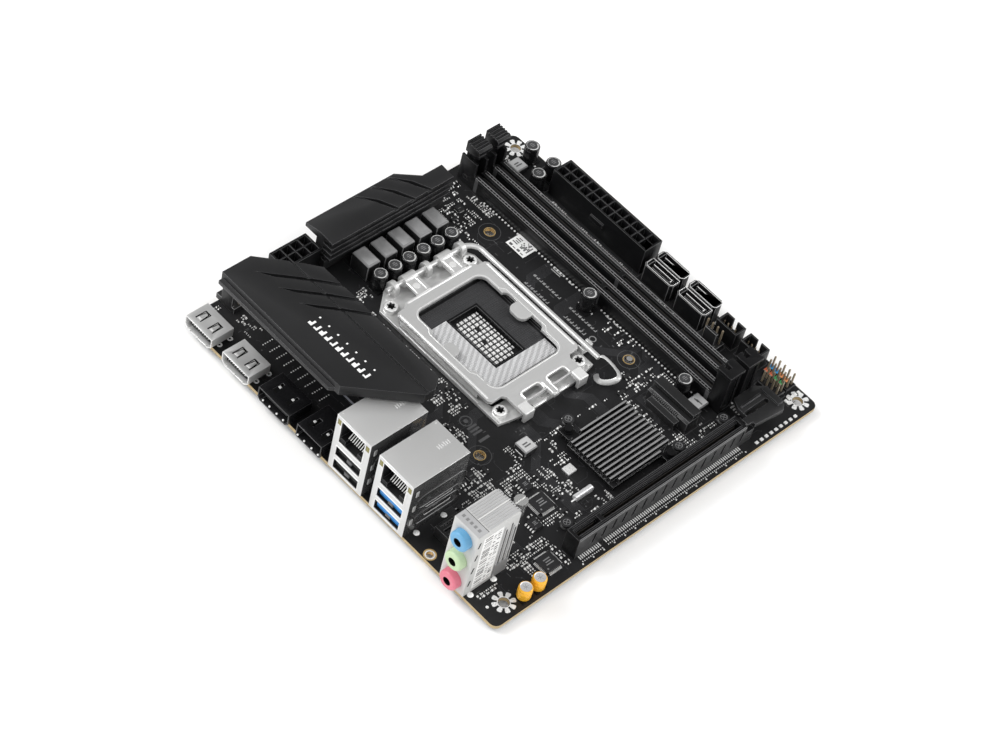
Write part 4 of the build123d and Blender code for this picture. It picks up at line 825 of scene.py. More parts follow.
gold_cans = Piece()
for x, y in AUDIO_CANS:
    gold_cans.prism([(x - 2.6, y - 2.6), (x + 2.6, y - 2.6), (x + 2.6, y + 1.7), (x + 1.7, y + 2.6),
                     (x - 1.7, y + 2.6), (x - 2.6, y + 1.7)], 0.05, 0.6, "black_plastic")
    gold_cans.lathe((x, y, 0), [
        (2.4, 0.55), (2.62, 0.65), (2.72, 0.95), (2.75, 3.9), (2.58, 4.1), (2.58, 4.35),
        (2.74, 4.55), (2.73, 5.2), (2.66, 5.6), (2.5, 5.85), (2.35, 5.97),
        (2.2, 6.0, "can"), (2.05, 5.9), (2.0, 5.74), (0.0, 5.76),
    ], "amber_sleeve", 40)
    for turn in (0, 60, 120):
        gold_cans.slab(x, y, 1.2, 0.05, 5.7, 5.79, "edge_light", 0.01, turn=turn)
gold_cans.done("audio_cans", "board", "can", "audio_capacitors")

coils = Piece()
for x, y, turn in ((63.05, 51.1, 0), (130.8, 27.8, 90), (157.4, 155.2, 0)):
    coils.slab(x, y, 3.15, 3.15, 0.15, 3.1, "ferrite", 0.45, "edge_light", turn, "coil_top")
    for side in (-1, 1):
        coils.slab(x + side * 2.75, y, 0.5, 2.0, 0.0, 0.5, "solder", 0.1, turn=0)
    coils.box(x - 1.5, x + 1.5, y - 1.0, y - 0.4, 3.08, 3.15, "chip_grey", 0.01, turn=turn)
    coils.box(x - 1.5, x + 0.8, y + 0.2, y + 0.8, 3.08, 3.15, "chip_grey", 0.01, turn=turn)
coils.done("shielded_coils", "board", "ferrite", "small_coils")


# ------------------------------------------------------------------ packages
def gull_wings(piece, x, y, half_x, half_y, counts, pitch, reach):
    """Rows of bent leads: counts on the -X and +X sides, then on the -Y and +Y sides."""
    thick = 0.45 * pitch
    for axis, count, half in ((0, counts[0], half_x), (1, counts[1], half_y)):
        for side in (-1, 1):
            for k in range(count):
                along = (k - (count - 1) / 2) * pitch
                # The shoulder, the foot and the step between them.
                for out, half_long, z0, z1, cut in (
                    (0.25, 0.5 * reach / 2, 0.35, 0.55, 0.04),
                    (0.72, 0.56 * reach / 2, 0, 0.2, 0.04),
                    (0.47, 0.1, 0.02, 0.53, 0.03),
                ):
                    centre = side * (half + reach * out)
                    if axis == 0:
                        piece.slab(x + centre, y + along, half_long, thick / 2, z0, z1, "solder",
                                   cut)
                    else:
                        piece.slab(x + along, y + centre, thick / 2, half_long, z0, z1, "solder",
                                   cut)


def package(piece, x, y, wide_x, wide_y, high, leads, pitch):
    """A moulded chip with leads, a first-pin dimple and plain printed bars."""
    small = min(wide_x, wide_y)
    piece.slab(x, y, wide_x / 2, wide_y / 2, 0.12, high, "chip_epoxy", 0.12)
    gull_wings(piece, x, y, wide_x / 2, wide_y / 2, leads, pitch, min(1.0, 0.25 * small))
    piece.ring(x - wide_x / 2 + small * 0.16, y - wide_y / 2 + small * 0.16, 0.02, small * 0.05,
               "edge_light", high - 0.01, high + 0.02, 16)
    for k, share in enumerate((0.5, 0.36, 0.44)):
        y0 = y - small * 0.16 + k * small * 0.15
        piece.box(x - wide_x * share / 2, x + wide_x * share / 2, y0, y0 + small * 0.06,
                  high - 0.01, high + 0.02, "edge_light", 0.004)


chips = Piece()
package(chips, 50.5, 29.5, 7.0, 7.0, 1.4, (12, 12), 0.5)
package(chips, 34.4, 9.1, 7.0, 7.0, 1.4, (12, 12), 0.5)
for x, y in DRUM_COILS:
    # The two lighter bands round the top rim are painted highlights.
    chips.lathe((x, y, 0), [
        (1.9, 0.1), (2.2, 0.2), (2.28, 0.5), (2.1, 0.75), (1.75, 0.95), (1.75, 1.75),
        (2.1, 1.95), (2.28, 2.15), (2.25, 2.4), (2.0, 2.5), (1.5, 2.5, "edge_dark"),
        (1.35, 2.36, "edge_light"), (1.2, 2.34, "chip_epoxy"), (0.0, 2.34),
    ], "chip_epoxy", 32)
    for turn in (35, 125):
        chips.slab(x, y, 1.2, 0.1, 2.3, 2.42, "edge_light", 0.02, turn=turn)
    for side in (-1, 1):
        chips.slab(x, y + side * 2.3, 0.6, 0.3, 0, 0.3, "solder", 0.05)
chips.done("flat_packages", "board", "chip_epoxy", "controller_chips")

# Small parts on the component side, in the places where the real ones are crowded.
scatter = Piece()
taken = []


def fits(x0, x1, y0, y1):
    """Takes a place if nothing is on it yet, and says whether it did."""
    for a, b, c, d in taken:
        if x0 < b and x1 > a and y0 < d and y1 > c:
            return False
    taken.append((x0, x1, y0, y1))
    return True


def block(x0, x1, y0, y1):
    """Keeps a place free of small parts."""
    taken.append((x0, x1, y0, y1))


def two_end(piece, x, y, long, wide, high, along_x, kind):
    """A two-ended chip part: dark or brown body, silver ends and their solder fillets."""
    body = {"r": "resistor", "c": "chip_tan", "b": "chip_epoxy", "g": "chip_grey"}[kind]
    hx, hy = (long / 2, wide / 2) if along_x else (wide / 2, long / 2)
    piece.slab(x, y, hx * 0.98, hy * 0.98, 0.06, high - 0.01, body, 0.03)
    cap, fillet = long * 0.13, long * 0.22
    for side in (-1, 1):
        if along_x:
            piece.slab(x + side * (hx - long * 0.10), y, cap, hy, 0.04, high, "solder", 0.05)
            piece.slab(x + side * hx, y, fillet, hy * 1.05, 0, 0.1, "solder", 0.03)
        else:
            piece.slab(x, y + side * (hy - long * 0.10), hx, cap, 0.04, high, "solder", 0.05)
            piece.slab(x, y + side * hy, hx * 1.05, fillet, 0, 0.1, "solder", 0.03)


def small_chip(piece, x, y, kind, along_x):
    """A small package of a kind that SIZES names."""
    if kind == "sot":
        wx, wy = (1.4, 2.9) if along_x else (2.9, 1.4)
        piece.slab(x, y, wx / 2, wy / 2, 0.1, 1.0, "chip_epoxy", 0.12)
        for a, b in ((-1, -0.95), (-1, 0.95), (1, 0)):
            px, py = (x + a * 1.0, y + b) if along_x else (x + b, y + a * 1.0)
            sx, sy = (0.45, 0.22) if along_x else (0.22, 0.45)
            piece.slab(px, py, sx, sy, 0, 0.25, "solder", 0.05)
    elif kind == "qfn":
        piece.slab(x, y, 1.5, 1.5, 0.03, 0.85, "chip_epoxy", 0.06)
        for k in range(5):
            along = -1.0 + 0.5 * k
            for side in (-1, 1):
                piece.slab(x + side * 1.55, y + along, 0.18, 0.12, 0, 0.16, "solder", 0.03)
                piece.slab(x + along, y + side * 1.55, 0.12, 0.18, 0, 0.16, "solder", 0.03)
        piece.ring(x - 1.0, y - 1.0, 0.02, 0.14, "edge_light", 0.84, 0.87, 12)
        piece.box(x - 0.7, x + 0.8, y - 0.1, y + 0.1, 0.84, 0.87, "edge_light", 0.004)
    elif kind == "so8":
        wx, wy = (3.9, 4.9) if along_x else (4.9, 3.9)
        leads = (4, 0) if along_x else (0, 4)
        package(piece, x, y, wx, wy, 1.5, leads, 1.27)
    elif kind == "son":
        piece.slab(x, y, 2.5, 3.0, 0.05, 1.0, "chip_epoxy", 0.08)
        for side in (-1, 1):
            for k in range(4):
                along = -1.9 + 1.27 * k
                piece.slab(x + side * 2.6, y + along, 0.25, 0.25, 0, 0.25, "solder", 0.04)


SIZES = {"sot": (3.1, 3.1), "qfn": (3.6, 3.6), "so8": (6.2, 6.2), "son": (5.9, 6.4)}


def crowd(x0, x1, y0, y1, seed, chips_in, cover):
    """Fills a share of a patch with rows of two-ended parts around the chips named for it."""
    draw = random.Random(seed)
    for kind in chips_in:
        for _ in range(20):
            wx, wy = SIZES[kind]
            if x1 - x0 <= wx or y1 - y0 <= wy:
                break
            x, y = draw.uniform(x0 + wx / 2, x1 - wx / 2), draw.uniform(y0 + wy / 2, y1 - wy / 2)
            if fits(x - wx / 2, x + wx / 2, y - wy / 2, y + wy / 2):
                small_chip(scatter, x, y, kind, draw.random() < 0.5)
                break
    along_x = (x1 - x0) > (y1 - y0) or draw.random() < 0.5
    pitch_a, pitch_b = (2.0, 1.15) if along_x else (1.15, 2.0)
    y = y0 + pitch_b / 2
    while y < y1 - pitch_b / 2 + 0.3:
        x = x0 + pitch_a / 2
        while x < x1 - pitch_a / 2 + 0.3:
            if draw.random() < cover:
                large = draw.random() < 0.3
                long, wide, high = (1.55, 0.8, 0.45) if large else (1.0, 0.52, 0.36)
                kind = draw.choice("rrccbg")
                hx, hy = long / 2 + 0.25, wide / 2 + 0.08
                if not along_x:
                    hx, hy = hy, hx
                if fits(x - hx, x + hx, y - hy, y + hy):
                    two_end(scatter, x, y, long, wide, high, along_x, kind)
            x += pitch_a
        y += pitch_b


for node in nodes:
    low_x, high_x, low_y, high_y, low_z, _ = span(node)
    if -0.5 < low_z < 0.9 and high_x - low_x < 60 and node not in (
            "header_pins", "capacitors", "small_coils", "controller_chips", "audio_capacitors",
            "fan_headers", "chokes", "power_stages", "power_pins", "card_connector",
            "header_shrouds", "pin_header_bases", "lan_light_pipes"):
        block(low_x, high_x, low_y, high_y)
for places, half_x, half_y in ((core_cans + board_cans, 3.5, 3.6), (AUDIO_CANS, 2.8, 2.8),
                               (DRUM_COILS, 2.6, 2.8), (MOUNT_HOLES + COOLER_HOLES, 4.9, 4.9)):
    for x, y, *_ in places:
        block(x - half_x, x + half_x, y - half_y, y + half_y)
for patch in (
    (59.5, 66.6, 47.6, 54.6), (127.3, 134.3, 24.3, 31.3), (153.9, 160.9, 151.7, 158.7),
    (45.6, 55.4, 24.6, 34.4), (29.5, 39.3, 4.2, 14.0), (117.2, 124.2, 21.0, 42.4),
    (114.6, 117.6, 24.8, 39.8), (9.4, 31.8, 35.4, 43.0), (161.8, 168.2, 26.3, 49.6),
    (157.2, 168.7, 11.2, 24.3), (154.4, 160.2, 41.4, 52.0), (16.4, 22.2, 161.4, 172.0),
    (37.6, 110.2, 144.5, 155.0), (61.4, 116.2, 62.0, 137.6), (43.0, 136.6, 0.9, 11.5),
    (131.8, 153.6, 3.2, 18.6), (158.2, 169.0, 87.2, 139.2), (38.0, 56.6, 159.2, 170.2),
    (38.5, 44.1, 29.2, 34.8), (75.0, 107.6, 17.4, 48.6), (51.4, 56.7, 62.5, 76.2),
    (123.7, 128.3, 56.7, 61.3), (118.8, 126.0, 76.8, 123.2), (126.2, 135.2, 119.0, 130.2),
    (111.5, 115.5, 56.0, 130.0), (104.5, 113.0, 50.5, 60.0), (61, 71, 22, 25.5), (67, 72.5, 32, 37),
    (0.0, 5.4, 34.2, 39.6), (157.6, 170.1, 52.5, 86.0),
):
    block(*patch)

# Each patch, the chips in it and the share of it that small parts cover. A share of 0 leaves the
# patch empty, and its row keeps the seeds of the patches after it.
crowds = [
    (115, 128, 143, 157, ("sot", "qfn"), 0.7), (130, 133.4, 142, 157, (), 0.8),
    (119.2, 127, 133.5, 142, (), 0.5), (156.6, 158.1, 94, 140, (), 0.5),
    (60, 65.5, 137.6, 144, (), 0.9), (55, 61, 84, 95, ("sot",), 0.7),
    (48.5, 55, 84.5, 93, ("qfn",), 0.7), (51.5, 60, 77.5, 83, (), 0.8),
    (45.5, 51, 66, 78, ("sot",), 0.8), (24.6, 37, 98, 112, ("sot",), 0.4),
    (4, 14.5, 8.5, 15, (), 0.8), (25.5, 29.2, 8, 21, (), 0.9), (21, 33, 14.5, 21, ("sot",), 0.7),
    (33, 41, 14.6, 19, (), 0.8), (39.8, 43.2, 4, 16.5, (), 0.8),
    (36.5, 45.4, 20.5, 29, ("so8",), 0.6),
    (43.5, 58.5, 20.5, 24.2, ("sot",), 0.7), (54, 61, 12.4, 20, ("qfn",), 0.7),
    (44.2, 56, 35, 45.5, ("so8", "sot"), 0.7), (49.8, 55.4, 42, 49, (), 0.8),
    (32, 44, 44.2, 49, (), 0.75), (22.5, 36, 43.3, 47, ("sot",), 0.5),
    (55.8, 60, 46, 56, (), 0.7), (56.2, 64, 26, 42, ("sot", "sot"), 0.6),
    (64.5, 67.5, 25.5, 32.5, (), 0.8), (66.5, 75, 37.6, 43, (), 0.8),
    (69, 75, 12.5, 22, (), 0.7), (67.5, 85, 49.2, 60.5, ("qfn", "sot"), 0.6),
    (87.6, 103, 50, 61, ("sot", "sot"), 0.6), (103.2, 113.5, 46, 50.5, ("sot",), 0.6),
    (114.5, 133, 45.5, 51, ("so8", "sot"), 0.7), (108.5, 113.8, 20.5, 45, ("sot",), 0.6),
    (113, 117, 12.2, 24, (), 0.8), (124.8, 127, 20, 45, (), 0.7), (130.5, 133.3, 38.5, 46, (), 0.8),
    (113.2, 131, 12.0, 19.4, ("sot",), 0.6), (154.2, 157.1, 24, 40.8, (), 0.6),
    (162.5, 168.5, 50.2, 53, (), 0.7), (154.3, 157.6, 53, 86, (), 0.45),
    (3, 15.5, 166, 169, (), 0.7), (23, 29.5, 158.8, 169.5, ("sot",), 0.6),
    (14, 22.4, 149, 160, (), 0.4), (28, 36.5, 44, 72, ("sot", "so8"), 0.3),
    (30, 46, 49.5, 57, ("qfn", "sot"), 0.5), (27.5, 44, 60, 73, (), 0.35),
    (133.2, 136, 52, 60, (), 0.5), (127, 133, 62, 77, (), 0.3),
    (115.8, 121, 51.5, 57, ("sot",), 0.5),
    (160.5, 169.6, 3, 10.5, (), 0.0), (135, 160, 2.6, 3.3, (), 0.0),
    (154, 160.4, 160, 169, (), 0.5), (118.8, 133, 158.5, 168.5, ("so8", "sot"), 0.45),
    (154.2, 163, 125, 139, (), 0.2), (70, 75, 44, 49, (), 0.7), (38.5, 61.2, 128, 136, (), 0.3),
    (38.2, 60.8, 96, 127, ("son", "son", "son", "sot"), 0.4), (112, 118, 128, 141.8, ("sot",), 0.6),
    (60.2, 67, 26.5, 28, (), 0.5), (57, 68, 12.2, 16.6, (), 0.5), (2, 13, 25, 33, (), 0.0),
    (21, 32, 22.5, 34, ("sot", "so8"), 0.55), (32, 45, 36, 42.5, (), 0.5),
]
for number, (x0, x1, y0, y1, inside, cover) in enumerate(crowds):
    if cover:
        crowd(x0, x1, y0, y1, 100 + number, inside, cover)

# Three rows of small white parts, then the crystal and a bright package.
for count, pitch, x0, x1, y0, y1, high in (
    (9, 2.7, 136.4, 137.8, 1.2, 2.4, 0.5),
    (5, 1.8, 160.6, 161.8, 8.4, 9.6, 0.5),
    (7, 1.5, 142.5, 143.4, 20.2, 21.0, 0.45),
):
    for k in range(count):
        scatter.box(x0 + pitch * k, x1 + pitch * k, y0, y1, 0, high, "label", 0.06)
scatter.lathe((66.0, 23.6, 1.3), [(1.0, -4.4), (1.25, -4.2), (1.25, 4.2), (1.0, 4.4)], "can",
              axis="x")
for side in (-1, 1):
    scatter.box(66 + side * 4.9 - 0.8, 66 + side * 4.9 + 0.8, 23.3, 23.9, 0, 0.3, "solder", 0.05)
scatter.box(61.9, 70.1, 22.5, 24.7, 0.0, 0.6, "can", 0.1)
scatter.box(67.6, 71.9, 32.6, 36.4, 0.05, 1.0, "can", 0.15, lid="tin")
for a in (55, 60.4, 65.8):
    scatter.box(a, a + 4.6, 13.0, 14.0, 0, 1.6, "black_plastic", 0.1)
scatter.done("small_parts", "board", "chip_epoxy")

# ------------------------------------------------------------------ load plate's rolled rims
def arc(x, y, reach_x, reach_y, start):
    """A clockwise quarter turn in seven points."""
    turns = [math.radians(start - 15 * i) for i in range(7)]
    return [(x + reach_x * math.cos(a), y + reach_y * math.sin(a)) for a in turns]


plate_top = 6.0
rims = Piece()
# The rims are real rolled shapes, drawn in the lighter edge_bright steel: a painted highlight along
# them.
for x in (63.9, 108.9):
    rims.tube([(x, 73.4, plate_top - 0.75), (x, 73.4 + 0.6, plate_top - 0.35),
               (x, 122.4 - 0.6, plate_top - 0.35), (x, 122.4, plate_top - 0.75)],
              0.62, "edge_bright", 16)
rims.tube([(69.9, 124.9, plate_top - 0.7), (70.9, 124.9, plate_top - 0.3),
           (102.4, 124.9, plate_top - 0.3), (103.4, 124.9, plate_top - 0.7)],
          0.6, "edge_bright", 16)
# A low pressed step follows the window, drawn only as a thin bright line: a painted highlight along
# its edge.
step = [(68.3, 80.5), (68.3, 84.3), (66.7, 86.6), (66.7, 108.8), (68.3, 111.2), (68.3, 116.5)]
step += arc(73.0, 116.0, 4.7, 4.4, 180) + arc(99.6, 116.0, 4.7, 4.4, 90)
step += [(104.3, 110.4), (106.1, 108.4), (106.1, 86.4), (104.3, 84.2)]
step += arc(99.6, 78.6, 4.7, 4.4, 0) + arc(73.0, 78.6, 4.7, 4.4, -90)
rims.tube([(x, y, plate_top - 0.02) for x, y in step], 0.16, "edge_bright", 8)
# Rolled lips round the two finger openings and along the tongue, also in the lighter steel as a
# painted highlight.
for x in (80.2, 93.4):
    lip = []
    for i in range(13):
        a = math.radians(180 - 15 * i)
        lip.append((x + (3.3 if i > 6 else -3.3) + 1.5 * math.cos(a), 66.9 + 1.7 * math.sin(a),
                    plate_top + 0.05))
    rims.tube([(x - 4.8, 65.2, plate_top + 0.05), *lip, (x + 4.8, 65.2, plate_top + 0.05)], 0.42,
              "edge_bright", 10)
tongue_edge = [(85.6 + 0.3, 67.4), (85.6 + 0.3, 61.4), (87.1, 60.5),
               (88.6 - 0.3, 61.4), (88.6 - 0.3, 67.4)]
rims.tube([(x, y, plate_top) for x, y in tongue_edge], 0.32, "edge_bright", 10)
for x0, x1 in ((70.2, 75.0), (98.2, 103.0)):
    rims.box(x0 + 0.2, x1 - 0.2, 59.5, 64.6, plate_top - 0.5, plate_top + 0.5, "edge_bright", 0.4)
rims.done("load_plate_rims", "load_plate", "steel")

tabs = Piece()
# Curled tabs of the frame, in the lighter steel as a painted highlight.
for x0, x1 in ((77.0, 84.4), (89.0, 96.4)):
    tabs.tube([(x0, 62.6, 2.2), (x0 + 0.8, 62.2, 2.5), (x1 - 0.8, 62.2, 2.5), (x1, 62.6, 2.2)], 0.5,
              "edge_bright", 10)
for x, y in ((62.9, 66.0), (109.3, 66.0)):
    tabs.box(x - 0.6, x + 0.6, y - 1.6, y + 3.4, 1.6, 2.2, "edge_bright", 0.25)
tabs.done("frame_curls", "board", "steel")

# ------------------------------------------------------------------ rear ports
ports = Piece()
shell_face, shell_top = -0.62, 29.19
for cy in STACK_ROWS:
    # Contact comb hanging in the network jack.
    for k in range(8):
        y = cy - 3.57 + 1.02 * k
        wire = [(1.6, y, 18.8), (2.2, y, 19.2), (5.2, y, 22.4), (9.3, y, 23.2)]
        ports.tube(wire, 0.2, "label", 8)
    ports.box(9.0, 10.4, cy - 4.6, cy + 4.6, 21.5, 24.6, "black_plastic", 0.1)
    # Rolled rims of the openings, drawn in the lighter edge_bright steel as a painted highlight,
    # and small corner nubs of the shell.
    for z0, z1, half in ((1.2, 6.4, 6.6), (8.4, 13.6, 6.6), (16.2, 27.8, 6.2)):
        loop = [(shell_face, cy - half, z0), (shell_face, cy + half, z0),
                (shell_face, cy + half, z1), (shell_face, cy - half, z1)]
        for i in range(4):
            ports.tube([loop[i], loop[(i + 1) % 4]], 0.18, "edge_bright", 8)
    for y in (cy - 8.0, cy + 8.0):
        for x in (1.2, 13.0, 25.2):
            ports.slab(x, y, 0.35, 0.25, 29.15, 29.4, "shell_plate", 0.08)
    # Plain pressed bars on the top, drawn in the lighter edge_bright steel as a painted highlight.
    for k, length in enumerate((1.0, 1.4, 0.8, 1.4, 1.0, 1.2)):
        ports.box(18.2 + 1.0 * k, 18.6 + 1.0 * k, cy - 1.0 - length / 2, cy - 1.0 + length,
                  shell_top, 29.23, "edge_bright", 0.01)
    # Two pressed ovals, in the darker side finish that is a painted dark reflection, and spring
    # fingers along the side that faces the audio block.
    side = cy - 8.95
    for low, high, x0, x1 in ((3.5, 9.5, 6.5, 22.5), (13.0, 20.0, 6.5, 23.5)):
        mid, half = (low + high) / 2, (high - low) / 2
        loop = []
        for end, start in ((x1, -90), (x0, 90)):
            for degrees in range(start, start + 181, 15):
                turn = math.radians(degrees)
                loop.append((end + half * math.cos(turn), side, mid + half * math.sin(turn)))
        ports.tube([*loop, loop[0]], 0.3, "shell_side", 10)
    for z in (7.0, 15.0, 23.5):
        ports.box(1.6, 3.0, side - 0.22, side + 0.1, z - 1.4, z + 1.4, "shell_plate", 0.15)
ports.done("port_stack_trim", "board", "shell_plate")

tongue = Piece()
for cy, colour in zip(STACK_ROWS, ("blue_plastic", "black_plastic")):
    for low in (1.2, 8.4):
        tongue.box(0.15, 11.0, cy - 6.0, cy + 6.0, low + 1.9, low + 4.8, colour, 0.25)
        tongue.box(0.9, 10.8, cy - 6.3, cy + 6.3, low + 0.12, low + 0.5, colour, 0.1)
        tongue.box(0.15, 0.9, cy - 1.3, cy + 1.3, low + 0.3, low + 1.9, "chip_grey", 0.15)
        for k in range(4):
            y = cy - 3.75 + 2.5 * k
            tongue.box(1.0, 9.0, y - 0.5, y + 0.5, low + 1.95, low + 2.12, "gold", 0.04)
tongue.done("usb_tongue_faces", "board", "blue_plastic")

single = Piece()
# Tongues, springs and contacts of the four single ports.
for cy in HDMI_ROWS:
    single.box(-1.0, 6.0, cy - 5.6, cy + 5.6, 2.55, 3.5, "black_plastic", 0.15)
    for k in range(9):
        single.box(-0.9, 5.0, cy - 4.6 + 1.15 * k - 0.2, cy - 4.6 + 1.15 * k + 0.2, 3.48, 3.6,
                   "label", 0.04)
    for y in (cy - 4.4, cy, cy + 4.4):
        single.lathe((-1.75, y, 0.75), [(0.35, -0.1), (0.35, 0.1), (0.0, 0.25)], "label", 12)
    # Near-black U-shaped slits round each spring tab are painted shade where the shell is cut.
    for dy in (-3.4, 3.4):
        for y in (cy + dy - 1.35, cy + dy + 1.35):
            single.box(0.6, 5.6, y - 0.2, y + 0.2, 5.98, 6.05, "hole_shade", 0.02)
        single.box(5.3, 5.8, cy + dy - 1.5, cy + dy + 1.5, 5.98, 6.05, "hole_shade", 0.02)
        single.box(1.2, 2.0, cy + dy - 0.9, cy + dy + 0.9, 5.98, 6.1, "edge_bright", 0.05)
top_z = 6.6
# The same painted-shade openings round the spring tabs on the other two shells.
for cy in (117.8, 98.5):
    for dy in (-3.6, 3.6):
        single.box(1.2, 5.2, cy + dy - 0.9, cy + dy + 0.9, top_z - 0.02, top_z + 0.05, "hole_shade", 0.02)
        single.box(3.8, 4.8, cy + dy - 0.55, cy + dy + 0.55, top_z, top_z + 0.25, "edge_bright",
                   0.12)
    for y in (cy - 5.6, cy - 2.0, cy + 2.0, cy + 5.6):
        single.box(-1.7, -1.0, y - 0.35, y + 0.35, 0.9, 1.5, "label", 0.15)
single.done("single_port_trim", "board", "shell_plate")

# ------------------------------------------------------------------ audio block
audio = Piece()
y0, y1, top_z = 16.7, 28.9, 34.6
audio.box(-0.1, 4.4, y0 + 0.15, y1 - 0.15, top_z - 0.02, top_z + 0.16, "jack_plastic", 0.08)
for k in range(5):
    audio.box(1.6, 2.9, y0 + 1.8 + 2.0 * k, y0 + 2.9 + 2.0 * k, top_z + 0.12, top_z + 0.2,
              "edge_light", 0.02)
# A thin dark line stands for the shade at a small ledge: painted shade.
audio.box(4.6, 4.9, y0 + 0.1, y1 - 0.1, top_z - 0.02, top_z + 0.04, "chip_grey", 0.01)
for low in (y0 + 0.35, y0 + 6.5):
    for k in range(5):
        audio.box(5.3, 20.0, low + 0.2 + 1.08 * k, low + 0.85 + 1.08 * k, top_z - 0.02,
                  top_z + 0.22, "jack_plastic", 0.06, "ivory_plastic")
# The centre rib is drawn in the bright edge finish: a painted highlight along it.
audio.box(5.1, 20.3, y0 + 5.85, y0 + 6.25, top_z - 0.02, top_z + 0.34, "edge_bright", 0.08)
for k in range(4):
    audio.box(20.3, 20.75, y0 + 0.6 + 3.1 * k, y0 + 2.2 + 3.1 * k, 27.0, 34.0, "jack_plastic", 0.15)
# White label with plain bars of no meaning on the side.
audio.box(3.2, 12.6, y0 - 0.06, y0 + 0.02, 2.0, 31.6, "label", 0.01)
draw = random.Random(3)
for x0_bar, x1_bar in ((4.0, 7.6), (8.4, 9.6), (10.2, 11.8)):
    z = 3.0
    while z < 30.4:
        thick = draw.choice((0.18, 0.3, 0.5))
        gap = draw.choice((0.5, 0.8, 1.3))
        if x1_bar - x0_bar < 2 and draw.random() < 0.3:
            gap += 1.2
        audio.box(x0_bar, x1_bar, y0 - 0.09, y0 - 0.05, z, z + thick, "ink", 0.005)
        z += thick + gap
# Four leaning near-black slots on the side are painted shade.
for z in (29.2, 22.0, 14.4, 6.8):
    audio.box(1.0, 1.7, y0 - 0.04, y0 + 0.02, z - 1.5, z + 1.5, "hole_shade", 0.01, lean=("Y", 14))
for k in range(6):
    audio.box(13.4 + 1.15 * k, 13.9 + 1.15 * k, y0 - 0.22, y0 + 0.02, 1.0, 30.0 - 2.0 * (k % 3),
              "chip_grey" if k % 2 else "jack_plastic", 0.08)
audio.box(13.2, 20.2, y0 - 0.3, y0 + 0.02, 0.4, 8.0, "edge_light", 0.12)
# Near-black linings of the three jacks: painted shade inside them.
for z in (5.3, 16.9, 28.3):
    audio.lathe((0, 22.8, z), [(0.0, 12.3), (1.6, 12.3), (1.6, -3.28), (1.78, -3.28), (1.78, 12.5),
                               (0.0, 12.5)], "hole_shade", 32, "x")
audio.done("audio_block_trim", "board", "ivory_plastic")

# ------------------------------------------------------------------ memory and expansion slots
rails = Piece()
for cx in MEMORY_ROWS:
    # The long thin lighter strips along the slot tops are painted edge highlights.
    for dx in (-3.1, -2.0, 1.9, 3.0):
        rails.box(cx + dx - 0.12, cx + dx + 0.12, 27.0, 156.4, 7.38, 7.5, "edge_light", 0.03)
    y = 28.0
    while y < 155:
        if not 84.5 < y < 88.5:
            rails.box(cx - 2.85, cx - 2.2, y, y + 0.55, 7.38, 7.46, "edge_dark", 0.03)
            rails.box(cx + 2.15, cx + 2.75, y, y + 0.55, 7.38, 7.46, "edge_dark", 0.03)
        y += 1.7
    for y in (27.4, 86.5, 155.6):
        rails.box(cx - 3.4, cx - 3.2, y - 0.9, y + 0.9, 0.3, 7.0, "edge_dark", 0.06)
# Thin lighter strips along the expansion slot's top edge and slit are painted edge highlights.
rails.box(43.6, 131.0, 4.62, 4.78, 10.4, 10.7, "edge_light", 0.04)
rails.box(43.6, 131.0, 4.86, 5.06, 10.96, 11.06, "edge_light", 0.03)
rails.box(43.6, 131.0, 10.9, 11.1, 10.96, 11.06, "edge_dark", 0.03)
for dy in (5.7, 6.4, 9.6, 10.3):
    rails.box(45.0, 129.8, dy, dy + 0.14, 10.96, 11.04, "edge_dark", 0.03)
rails.done("slot_rails", "board", "black_plastic")

pins = Piece()
x = 45.3
while x < 129.6:
    if not 55.4 < x < 58.2:
        pins.box(x - 0.18, x + 0.18, 3.1, 4.7, 0.0, 0.42, "label", 0.06)
        pins.box(x - 0.2, x + 0.2, 1.9, 2.4, 0.0, 0.12, "solder", 0.03)
    x += 1.0
for k in range(17):
    pins.ring(44.6 + 5.37 * k, 1.3, 0.05, 0.35, "solder", 0, 0.05, 14)
for k in range(69):
    y = 30 + 1.75 * k
    if not 84 < y < 89:
        pins.ring(136.2 - 2.3, y, 0.0001, 0.42, "solder", 0, 0.16, 12)
for k in range(72):
    y = 27.5 + 1.75 * k
    pins.ring(143.0, y, 0.0001, 0.36, "solder", 0, 0.16, 12)
for k in range(2):
    for j in range(40):
        pins.box(155.9 + 0.9 * k, 156.3 + 0.9 * k, 92 + 1.15 * j, 92.5 + 1.15 * j, 0, 0.12,
                 "edge_light", 0.03)
pins.done("solder_rows", "board", "tin")

# ------------------------------------------------------------------ headers
heads = Piece()
block_shape = (1.22, 1.22, 0.05, 2.56)
block_colours = [("header_red", "header_blue")] * 2 + [("header_green", "header_orange")] * 2
block_colours.append(("black_plastic", "black_plastic"))
for i, pair in enumerate(block_colours):
    for j, colour in enumerate(pair):
        heads.slab(164.68 + PIN_PITCH * j, 22.83 - PIN_PITCH * i, *block_shape, colour, 0.25)
for i in range(4):
    for x in (158.68, 161.22):
        heads.slab(x, 20.31 - PIN_PITCH * i, *block_shape, "black_plastic", 0.25, "edge_dark")
heads.done("header_blocks", "board", "black_plastic", "pin_header_bases")

